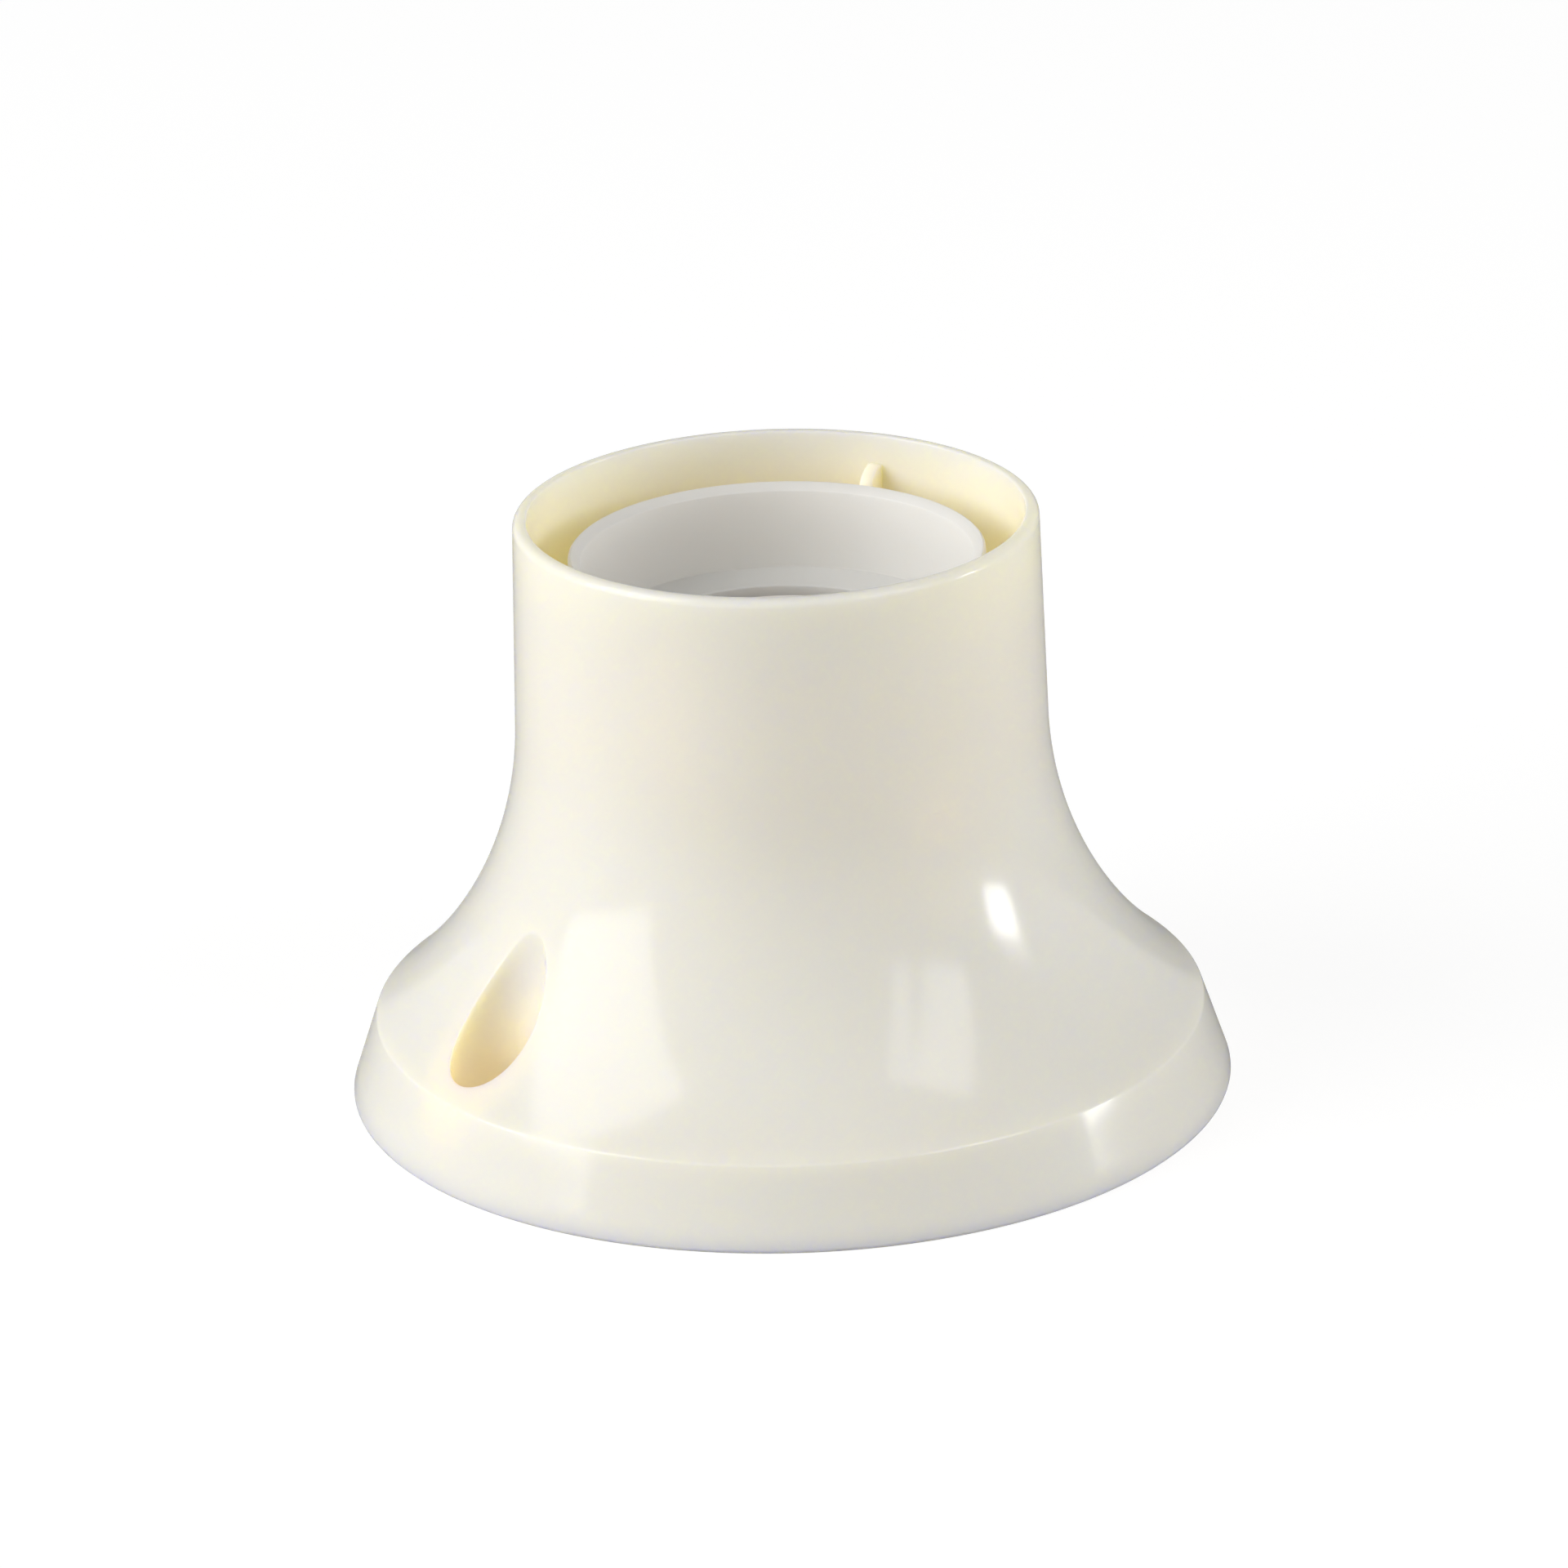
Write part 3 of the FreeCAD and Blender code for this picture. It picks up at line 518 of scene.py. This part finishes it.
def screw_bosses():
    """Two bosses that take the fixing screws, each with its web to the wall."""
    levels = steps(BOSS_FOOT, BOSS_TOP, 13)
    bore_end = BOSS_TOP - 2.5
    made = []
    for side in (1, -1):
        bm = bmesh.new()
        outside = [(BOSS_RADIUS, z) for z in levels]
        bore = [(BOSS_BORE, BOSS_FOOT)] + outside + [(0, BOSS_TOP), (0, bore_end), (BOSS_BORE, bore_end)]
        spin_profile(bm, bore, 48, (0.0, side * BOSS_OFFSET))
        for vert in bm.verts:
            keep_in_wall(vert)
        made.append(make_object("boss", bm))
        bm = bmesh.new()
        web = [(side * (BOSS_OFFSET + 2.0), z) for z in (BOSS_TOP - 0.5, BOSS_FOOT + 0.5)]
        web += [(side * (wall_inside(z) + WALL_BITE), z) for z in steps(BOSS_FOOT + 0.5, BOSS_TOP - 0.5, 12)]
        prism(bm, web, -1.0, 1.0, Matrix.Rotation(math.radians(90), 4, "Z") @ UPRIGHT)
        made.append(make_object("web", bm))
    return made


# ---------------------------------------------------------------- barrel and base
def ear(side, low, high, start, bevel=0.2):
    """A rounded ear from the barrel's wall out to the fixing screw."""
    bm = bmesh.new()
    outline = [(BOSS_RADIUS, start * side), (BOSS_RADIUS, BOSS_OFFSET * side)]
    for i in range(1, 16):
        angle = math.pi * i / 16
        outline.append((BOSS_RADIUS * math.cos(angle), side * (BOSS_OFFSET + BOSS_RADIUS * math.sin(angle))))
    outline += [(-BOSS_RADIUS, BOSS_OFFSET * side), (-BOSS_RADIUS, start * side)]
    prism(bm, outline, low, high, bevel=bevel)
    return make_object("ear", bm)


def socket_barrel():
    bm = bmesh.new()
    spin_profile(bm, profile([
        (SEAT_RADIUS, BARREL_FOOT, 0.1),
        (SEAT_RADIUS, SHELL_TOP, 0),
        (HOLE_RADIUS, SHELL_TOP, 0.1),
        (HOLE_RADIUS, LEDGE_INNER_LEVEL, 0.18),
        (LEDGE_RADIUS, LEDGE_LEVEL, 0.12),
        (RIM_STEP_RADIUS, RIM_STEP_LEVEL, 0.16),
        (RIM_LAND_RADIUS, BARREL_TOP, 0.1),
        (BARREL_RADIUS - 0.25, BARREL_TOP - 0.3, 0.15),
        (BARREL_RADIUS, BARREL_FOOT, 0.1),
        (SLOT_OUTSIDE, BARREL_FOOT, 0.1),
        (SLOT_OUTSIDE, SHELL_TOP, 0.4),
        (SLOT_INSIDE, SHELL_TOP, 0.4),
        (SLOT_INSIDE, BARREL_FOOT, 0.1),
    ]), 240)
    ears = [ear(side, BARREL_FOOT, BOSS_FOOT, 18.6) for side in (1, -1)]
    return unite(make_object("insulating_barrel", bm), ears, 30.0)


def terminal_base():
    """The block that carries the terminals, with its spigot, ears and barrier."""
    under, seat = (BARREL_RADIUS, BASE_LEVEL), (BARREL_RADIUS, BARREL_FOOT)
    spigot = (SHELL_RADIUS, BARREL_FOOT)
    outline = [(0, BASE_LEVEL)] + corner((0, BASE_LEVEL), under, seat, 0.4, 5)
    outline += corner(under, seat, (0, BARREL_FOOT), 0.15, 3) + [spigot]
    outline += corner(spigot, (SHELL_RADIUS, SHELL_FOOT), (0, SHELL_FOOT), 0.2, 3)
    bm = bmesh.new()
    spin_profile(bm, outline + [(0, SHELL_FOOT)], 192, closed=False)
    block = make_object("terminal_block", bm)
    ears = [ear(side, BASE_LEVEL, BARREL_FOOT, 18.0, 0.3) for side in (1, -1)]
    bm = bmesh.new()
    prism(bm, rectangle(1.8, 24.0, rounding=0.6), 9.5, 14.0, bevel=0.25)
    return unite(block, ears + [make_object("barrier", bm)], 30.0)


# ---------------------------------------------------------------- screw shell
def add_size(group, name, default):
    socket = group.interface.new_socket(name, in_out="INPUT", socket_type="NodeSocketFloat")
    socket.default_value = default


class Maths:
    """Small helper that adds maths nodes to a tree."""

    def __init__(self, tree):
        self.tree = tree

    def __call__(self, operation, *values):
        node = self.tree.nodes.new("ShaderNodeMath")
        node.operation = operation
        for i, item in enumerate(values):
            if isinstance(item, (int, float)):
                node.inputs[i].default_value = item
            else:
                self.tree.links.new(item, node.inputs[i])
        return node.outputs[0]


def rolled_thread_tree(material):
    """A cylinder of sheet whose wall rises and falls along a helix."""
    tree = bpy.data.node_groups.new("rolled_thread", "GeometryNodeTree")
    sizes = (("radius", SHELL_RADIUS), ("depth", THREAD_DEPTH), ("pitch", THREAD_PITCH),
             ("foot", SHELL_FOOT), ("top", SHELL_TOP), ("plain foot", PLAIN_FOOT))
    for name, size in sizes:
        add_size(tree, name, size * MM)
    tree.interface.new_socket("Geometry", in_out="OUTPUT", socket_type="NodeSocketGeometry")
    source = tree.nodes.new("NodeGroupInput")
    sink = tree.nodes.new("NodeGroupOutput")
    size = {name: source.outputs[name] for name, _ in sizes}
    m = Maths(tree)
    grid = tree.nodes.new("GeometryNodeMeshGrid")
    grid.inputs["Size X"].default_value = 1.0
    grid.inputs["Size Y"].default_value = 1.0
    grid.inputs["Vertices X"].default_value = 193
    grid.inputs["Vertices Y"].default_value = 150
    position = tree.nodes.new("GeometryNodeInputPosition")
    split = tree.nodes.new("ShaderNodeSeparateXYZ")
    tree.links.new(position.outputs[0], split.inputs[0])
    angle = m("MULTIPLY", m("ADD", split.outputs[0], 0.5), TAU)
    along = m("ADD", split.outputs[1], 0.5)
    height = m("MULTIPLY", along, m("SUBTRACT", size["top"], size["foot"]))
    turns = m("SUBTRACT", m("DIVIDE", height, size["pitch"]), m("DIVIDE", angle, TAU))
    wave = m("MULTIPLY_ADD", m("COSINE", m("MULTIPLY", turns, TAU)), -0.5, 0.5)
    rise = m("DIVIDE", m("SUBTRACT", height, size["plain foot"]), m("MULTIPLY", size["pitch"], 0.5))
    fade_in = m("MINIMUM", m("MAXIMUM", rise, 0.0), 1.0)
    room = m("SUBTRACT", m("SUBTRACT", size["top"], size["foot"]), height)
    fall = m("DIVIDE", room, m("MULTIPLY", size["pitch"], 0.3))
    fade_out = m("MINIMUM", m("MAXIMUM", fall, 0.0), 1.0)
    dent = m("MULTIPLY", m("MULTIPLY", wave, size["depth"]), m("MULTIPLY", fade_in, fade_out))
    radius = m("SUBTRACT", size["radius"], dent)
    join = tree.nodes.new("ShaderNodeCombineXYZ")
    tree.links.new(m("MULTIPLY", radius, m("COSINE", angle)), join.inputs[0])
    tree.links.new(m("MULTIPLY", radius, m("SINE", angle)), join.inputs[1])
    tree.links.new(m("ADD", height, size["foot"]), join.inputs[2])
    place = tree.nodes.new("GeometryNodeSetPosition")
    tree.links.new(grid.outputs["Mesh"], place.inputs["Geometry"])
    tree.links.new(join.outputs[0], place.inputs["Position"])
    merge = tree.nodes.new("GeometryNodeMergeByDistance")
    merge.inputs["Distance"].default_value = 1e-6
    tree.links.new(place.outputs[0], merge.inputs["Geometry"])
    real = tree.nodes.new("GeometryNodeRealizeInstances")
    tree.links.new(merge.outputs[0], real.inputs[0])
    paint = tree.nodes.new("GeometryNodeSetMaterial")
    paint.inputs["Material"].default_value = material
    tree.links.new(real.outputs[0], paint.inputs["Geometry"])
    tree.links.new(paint.outputs[0], sink.inputs[0])
    return tree


def grown_mesh(name, tree):
    """What a tree makes, as a plain mesh object."""
    seed = bpy.data.meshes.new(name + "_seed")
    carrier = bpy.data.objects.new(name + "_seed", seed)
    bpy.context.scene.collection.objects.link(carrier)
    modifier = carrier.modifiers.new("grow", "NODES")
    modifier.node_group = tree
    bpy.context.view_layer.update()
    evaluated = carrier.evaluated_get(bpy.context.evaluated_depsgraph_get())
    mesh = bpy.data.meshes.new_from_object(evaluated)
    bpy.data.objects.remove(carrier)
    mesh.name = name
    obj = bpy.data.objects.new(name, mesh)
    bpy.context.scene.collection.objects.link(obj)
    return obj


def screw_shell(material):
    rolled = grown_mesh("rolled_sheet", rolled_thread_tree(material))
    bm = bmesh.new()
    bm.from_mesh(rolled.data)
    bpy.data.objects.remove(rolled)
    bmesh.ops.remove_doubles(bm, verts=bm.verts[:], dist=1e-6)
    bmesh.ops.recalc_face_normals(bm, faces=bm.faces[:])
    bmesh.ops.solidify(bm, geom=bm.faces[:], thickness=SHELL_WALL * MM)
    widest = max(math.hypot(v.co.x, v.co.y) for v in bm.verts)
    if widest > (SHELL_RADIUS + 0.05) * MM:
        share = SHELL_RADIUS * MM / widest
        bmesh.ops.scale(bm, vec=(share, share, 1.0), verts=bm.verts[:])
    shell = make_object("rolled_screw_shell", bm)
    bm = bmesh.new()
    lip_top = SHELL_FOOT + SHELL_WALL
    spin_profile(bm, [
        (SHELL_LIP_INSIDE, SHELL_FOOT), (SHELL_LIP_OUTSIDE, SHELL_FOOT),
        (SHELL_LIP_OUTSIDE, lip_top), (SHELL_LIP_INSIDE, lip_top),
    ], 192)
    lip = make_object("lip", bm)
    bm = bmesh.new()
    prism(bm, rectangle(7.0, 6.0, 9.6, 0, 0.8), SHELL_FOOT, lip_top)
    return unite(shell, [lip, make_object("tab", bm)], 50.0)


# ---------------------------------------------------------------- centre contact
def contact_leaf():
    """A bent strip: foot, slope and tongue."""
    foot_top = SHELL_FOOT + 0.5
    side = [(LEAF_START, SHELL_FOOT), (-5.6, SHELL_FOOT), (-3.0, LEAF_UNDERSIDE), (LEAF_END, LEAF_UNDERSIDE),
            (LEAF_END, LEAF_TOP), (-3.17, LEAF_TOP), (-5.77, foot_top), (LEAF_START, foot_top)]
    points = []
    for i, (x, z) in enumerate(side):
        if i in (1, 2, 5, 6):
            points += corner(side[i - 1], (x, z), side[(i + 1) % 8], 0.6, 4)
        else:
            points.append((x, z))
    bm = bmesh.new()
    prism(bm, points, -2.5, 2.5, UPRIGHT, 0.08)
    return make_object("contact_leaf", bm, 30.0)


def contact_button():
    bm = bmesh.new()
    dome = [(0, LEAF_TOP), (BUTTON_RADIUS, LEAF_TOP), (BUTTON_RADIUS, BUTTON_EDGE)]
    for i in range(1, 7):
        angle = math.radians(90 * i / 6)
        r = BUTTON_RADIUS * math.cos(angle) if i < 6 else 0.0
        dome.append((r, BUTTON_EDGE + BUTTON_RISE * math.sin(angle)))
    spin_profile(bm, dome, 64, closed=False)
    return make_object("contact_button_dome", bm, 40.0)


# ---------------------------------------------------------------- materials
def new_material(name):
    material = bpy.data.materials.new(name)
    material.use_nodes = True
    tree = material.node_tree
    shader = tree.nodes["Principled BSDF"]
    coords = tree.nodes.new("ShaderNodeTexCoord")
    return material, tree, shader, coords.outputs["Object"]


def noise_of(tree, coords, scale, detail=2.0):
    node = tree.nodes.new("ShaderNodeTexNoise")
    node.inputs["Scale"].default_value = scale
    node.inputs["Detail"].default_value = detail
    tree.links.new(coords, node.inputs["Vector"])
    return node.outputs["Fac"]


def ramp_of(tree, value, stops):
    node = tree.nodes.new("ShaderNodeValToRGB")
    ramp = node.color_ramp
    while len(ramp.elements) < len(stops):
        ramp.elements.new(0.5)
    for element, (at, color) in zip(ramp.elements, stops):
        element.position = at
        element.color = color
    tree.links.new(value, node.inputs["Fac"])
    return node.outputs["Color"]


def between(tree, value, low, high):
    node = tree.nodes.new("ShaderNodeMapRange")
    node.inputs["To Min"].default_value = low
    node.inputs["To Max"].default_value = high
    tree.links.new(value, node.inputs["Value"])
    return node.outputs["Result"]


def grey(level):
    return (level, level, level, 1.0)


def moulded_plastic(name, pale, deep, roughness, speck, ripple):
    """Glossy moulding: faint flow marks, a few dust specks and a soft ripple."""
    material, tree, shader, coords = new_material(name)
    flow = noise_of(tree, coords, 45.0, 3.0)
    tint = ramp_of(tree, flow, [(0.35, deep), (0.65, pale)])
    specks = tree.nodes.new("ShaderNodeTexVoronoi")
    specks.inputs["Scale"].default_value = 230.0
    tree.links.new(coords, specks.inputs["Vector"])
    size = ramp_of(tree, specks.outputs["Distance"], [(0.0, grey(1.0)), (0.055, grey(0.0))])
    chance = tree.nodes.new("ShaderNodeSeparateColor")
    tree.links.new(specks.outputs["Color"], chance.inputs[0])
    few = ramp_of(tree, chance.outputs[0], [(0.0, grey(1.0)), (0.03, grey(0.0))])
    m = Maths(tree)
    mask = m("MULTIPLY", m("MULTIPLY", size, few), speck)
    mix = tree.nodes.new("ShaderNodeMix")
    mix.data_type = "RGBA"
    tree.links.new(mask, mix.inputs["Factor"])
    tree.links.new(tint, mix.inputs[6])
    mix.inputs[7].default_value = (0.32, 0.28, 0.2, 1.0)
    tree.links.new(mix.outputs[2], shader.inputs["Base Color"])
    haze = noise_of(tree, coords, 160.0, 4.0)
    tree.links.new(between(tree, haze, roughness[0], roughness[1]), shader.inputs["Roughness"])
    bump = tree.nodes.new("ShaderNodeBump")
    bump.inputs["Strength"].default_value = ripple
    bump.inputs["Distance"].default_value = 0.0004
    tree.links.new(noise_of(tree, coords, 90.0, 1.0), bump.inputs["Height"])
    tree.links.new(bump.outputs[0], shader.inputs["Normal"])
    return material, shader


def paint_recess_light(material, shader, deep, painted_glow):
    """Paints the plastic warmer with depth in a recess: painted light that stands in for light bounced
    between the walls.
    The weak glow is painted light too, in place of light that soaks through the wall from outside."""
    tree = material.node_tree
    mark = tree.nodes.new("ShaderNodeAttribute")
    mark.attribute_name = "recess"
    base = shader.inputs["Base Color"].links[0].from_socket
    mix = tree.nodes.new("ShaderNodeMix")
    mix.data_type = "RGBA"
    tree.links.new(mark.outputs["Fac"], mix.inputs["Factor"])
    tree.links.new(base, mix.inputs[6])
    mix.inputs[7].default_value = deep
    tree.links.new(mix.outputs[2], shader.inputs["Base Color"])
    shader.inputs["Emission Color"].default_value = painted_glow
    tree.links.new(mark.outputs["Fac"], shader.inputs["Emission Strength"])


def scatter(shader, weight, radius, scale):
    """Lets light soak into the plastic before it comes out again."""
    shader.inputs["Subsurface Weight"].default_value = weight
    shader.inputs["Subsurface Radius"].default_value = radius
    shader.inputs["Subsurface Scale"].default_value = scale


def metal(name, pale, deep, roughness, scale, brushed=1.0):
    """Plated or rolled metal with fine lines and a slight tarnish."""
    material, tree, shader, coords = new_material(name)
    stretch = tree.nodes.new("ShaderNodeMapping")
    stretch.inputs["Scale"].default_value = (1.0, 1.0, brushed)
    tree.links.new(coords, stretch.inputs["Vector"])
    lines = noise_of(tree, stretch.outputs[0], scale, 5.0)
    tarnish = noise_of(tree, coords, 160.0, 3.0)
    tree.links.new(ramp_of(tree, tarnish, [(0.35, deep), (0.7, pale)]), shader.inputs["Base Color"])
    tree.links.new(between(tree, lines, roughness[0], roughness[1]), shader.inputs["Roughness"])
    shader.inputs["Metallic"].default_value = 1.0
    bump = tree.nodes.new("ShaderNodeBump")
    bump.inputs["Strength"].default_value = 0.12
    bump.inputs["Distance"].default_value = 0.0001
    tree.links.new(lines, bump.inputs["Height"])
    tree.links.new(bump.outputs[0], shader.inputs["Normal"])
    return material


CREAM, cream_shader = moulded_plastic(
    "cream gloss moulding", (0.933, 0.856, 0.742, 1.0), (0.925, 0.846, 0.727, 1.0), (0.11, 0.17), 0.8, 0.05
)
# Painted light: the cream turns warmer and glows faintly deep in the mouth and wells, in place of light
# bounced between and let through the walls.
paint_recess_light(CREAM, cream_shader, (1.0, 0.9, 0.69, 1.0), (0.15, 0.106, 0.046, 1.0))
scatter(cream_shader, 1.0, (1.0, 0.92, 0.42), 0.003)
PALE, pale_shader = moulded_plastic(
    "pale insulating moulding", (0.82, 0.812, 0.782, 1.0), (0.805, 0.797, 0.765, 1.0), (0.3, 0.42), 0.5, 0.08
)
scatter(pale_shader, 0.35, (1.0, 0.9, 0.8), 0.002)
NICKEL = metal("plated shell", (0.86, 0.81, 0.75, 1.0), (0.76, 0.7, 0.64, 1.0), (0.28, 0.45), 500.0, 4.0)
BRONZE = metal("spring bronze", (0.72, 0.45, 0.24, 1.0), (0.6, 0.35, 0.18, 1.0), (0.25, 0.4), 700.0)
BRASS = metal("contact brass", (0.78, 0.6, 0.3, 1.0), (0.66, 0.48, 0.22, 1.0), (0.22, 0.38), 700.0)
ZINC = metal("zinc plate", (0.62, 0.63, 0.64, 1.0), (0.5, 0.51, 0.53, 1.0), (0.25, 0.42), 800.0)


def dress(piece, material, slot_name, body, *nodes):
    piece.data.materials.clear()
    piece.data.materials.append(material)
    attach(piece, body)
    if nodes:
        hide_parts(*nodes)


dress(mark_recesses(bell_housing()), CREAM, "cream_plastic", "housing", "bell_housing")
dress(socket_barrel(), PALE, "white_plastic", "housing", "socket_barrel")
dress(terminal_base(), PALE, "white_plastic", "housing", "terminal_base")
dress(screw_shell(NICKEL), NICKEL, "nickel_plate", "housing", "screw_shell")
dress(contact_button(), BRASS, "contact_brass", "contact_button", "centre_contact_tip")
leaf = contact_leaf()
leaf.data.materials.append(BRONZE)
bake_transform(leaf)
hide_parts("centre_contact_spring")

CARRIED = {
    "live_terminal_plate": BRASS, "neutral_terminal_plate": BRASS,
    "live_rivet": BRASS, "neutral_rivet": BRASS,
    "live_clamp_washer": ZINC, "neutral_clamp_washer": ZINC,
    "live_terminal_screw": ZINC, "neutral_terminal_screw": ZINC,
    "fixing_screw_1": ZINC, "fixing_screw_2": ZINC,
}
for node, material in CARRIED.items():
    mesh = frame["nodes"][node].data
    mesh.materials.clear()
    mesh.materials.append(material)


# ---------------------------------------------------------------- studio
def floor_material():
    """Pale floor that reads as the white sweep but keeps a soft shadow."""
    material = bpy.data.materials.new("pale floor")
    material.use_nodes = True
    tree = material.node_tree
    tree.nodes.clear()
    out = tree.nodes.new("ShaderNodeOutputMaterial")
    seen = tree.nodes.new("ShaderNodeLightPath")
    plain = tree.nodes.new("ShaderNodeBsdfDiffuse")
    plain.inputs["Color"].default_value = (0.5, 0.5, 0.495, 1.0)
    glow = tree.nodes.new("ShaderNodeEmission")
    glow.inputs["Color"].default_value = (1.0, 1.0, 1.0, 1.0)
    glow.inputs["Strength"].default_value = FLOOR_GLOW
    m = Maths(tree)
    direct = m("MAXIMUM", seen.outputs["Is Camera Ray"], seen.outputs["Is Transmission Ray"])
    share = m("MULTIPLY", direct, FLOOR_GLOW_SHARE)
    mix = tree.nodes.new("ShaderNodeMixShader")
    tree.links.new(share, mix.inputs[0])
    tree.links.new(plain.outputs[0], mix.inputs[1])
    tree.links.new(glow.outputs[0], mix.inputs[2])
    tree.links.new(mix.outputs[0], out.inputs[0])
    return material


def floor():
    bm = bmesh.new()
    bmesh.ops.create_grid(bm, x_segments=1, y_segments=1, size=3.0)
    bmesh.ops.translate(bm, vec=(0, 0, -FLOOR_GAP), verts=bm.verts[:])
    obj = make_object("floor", bm)
    obj.data.materials.append(floor_material())


def lamp(name, azimuth, elevation, distance, size, radiance, seen):
    """A soft rectangular lamp that faces the object. One that isn't seen has no reflection."""
    width, height = size
    data = bpy.data.lights.new(name, "AREA")
    data.shape = "RECTANGLE"
    data.size, data.size_y = size
    data.energy = radiance * math.pi * width * height
    obj = bpy.data.objects.new(name, data)
    flat = math.cos(math.radians(elevation))
    way = Vector((
        flat * math.cos(math.radians(azimuth)),
        flat * math.sin(math.radians(azimuth)),
        math.sin(math.radians(elevation)),
    ))
    obj.location = AIM + way * distance
    obj.rotation_euler = (-way).to_track_quat("-Z", "Y").to_euler()
    obj.visible_glossy = seen
    bpy.context.scene.collection.objects.link(obj)


def camera():
    data = bpy.data.cameras.new("view")
    data.lens = 181.723
    data.sensor_width = 36.0
    data.clip_start = 0.05
    obj = bpy.data.objects.new("view", data)
    right = Vector((0.8126675, -0.5820560, -0.0279697))
    down = Vector((-0.2322404, -0.2794861, -0.9316394))
    ahead = Vector((0.5344491, 0.7636088, -0.3623062))
    turn = Matrix((right, -down, -ahead)).transposed().to_4x4()
    obj.matrix_world = Matrix.Translation((-0.3893244, -0.5562998, 0.2927394)) @ turn
    bpy.context.scene.collection.objects.link(obj)
    bpy.context.scene.camera = obj


def world():
    data = bpy.data.worlds.new("studio")
    bpy.context.scene.world = data
    data.use_nodes = True
    tree = data.node_tree
    shade = tree.nodes["Background"]
    shade.inputs["Color"].default_value = (1.0, 1.0, 1.0, 1.0)
    seen = tree.nodes.new("ShaderNodeLightPath")
    m = Maths(tree)
    direct = m("MAXIMUM", seen.outputs["Is Camera Ray"], seen.outputs["Is Transmission Ray"])
    mirrored = m("MULTIPLY", seen.outputs["Is Glossy Ray"], REFLECTED_ROOM)
    white = m("MAXIMUM", direct, mirrored)
    tree.links.new(m("MAXIMUM", white, AMBIENT), shade.inputs["Strength"])


AIM = Vector((0.0, 0.0, 0.025))
FLOOR_GAP = 0.00002    # keeps the floor off the mounting face
FLOOR_GLOW = 1.45
FLOOR_GLOW_SHARE = 0.6
AMBIENT = 0.13         # strength of the room as light on the object
REFLECTED_ROOM = 0.7   # strength of the room as the object mirrors it
LAMPS = (
    # name, azimuth, elevation, distance, size, radiance, reflected
    ("left softbox", 162.5, 32.0, 1.2, (0.83, 1.12), 2.7, True),
    ("left fill", 168.0, 18.0, 1.3, (1.6, 0.8), 2.6, False),
    ("left low fill", 178.0, 4.0, 1.3, (1.2, 0.4), 0.3, False),
    ("window, narrow pane", -82.8, 37.0, 1.2, (0.12, 0.66), 2.3, True),
    ("window, wide pane", -65.8, 37.0, 1.2, (0.33, 0.66), 2.4, True),
    ("right fill", -48.0, 12.0, 1.3, (1.4, 0.6), 2.9, False),
    ("right low fill", -60.0, 3.0, 1.3, (1.2, 0.4), 0.4, False),
    ("right lamp", -37.5, 8.0, 1.2, (0.24, 0.2), 10.0, True),
    ("right lamp glow", -34.5, 11.0, 1.25, (0.22, 0.26), 1.8, True),
    ("back fill", 55.0, 25.0, 1.3, (1.0, 0.7), 0.2, False),
    ("front fill", -125.0, 35.0, 1.6, (0.8, 0.8), 0.12, False),
    ("front low fill", -125.0, 4.0, 1.6, (1.2, 0.5), 0.55, False),
)
floor()
camera()
world()
for kind in LAMPS:
    lamp(*kind)

bpy.context.scene.view_settings.view_transform = "Standard"
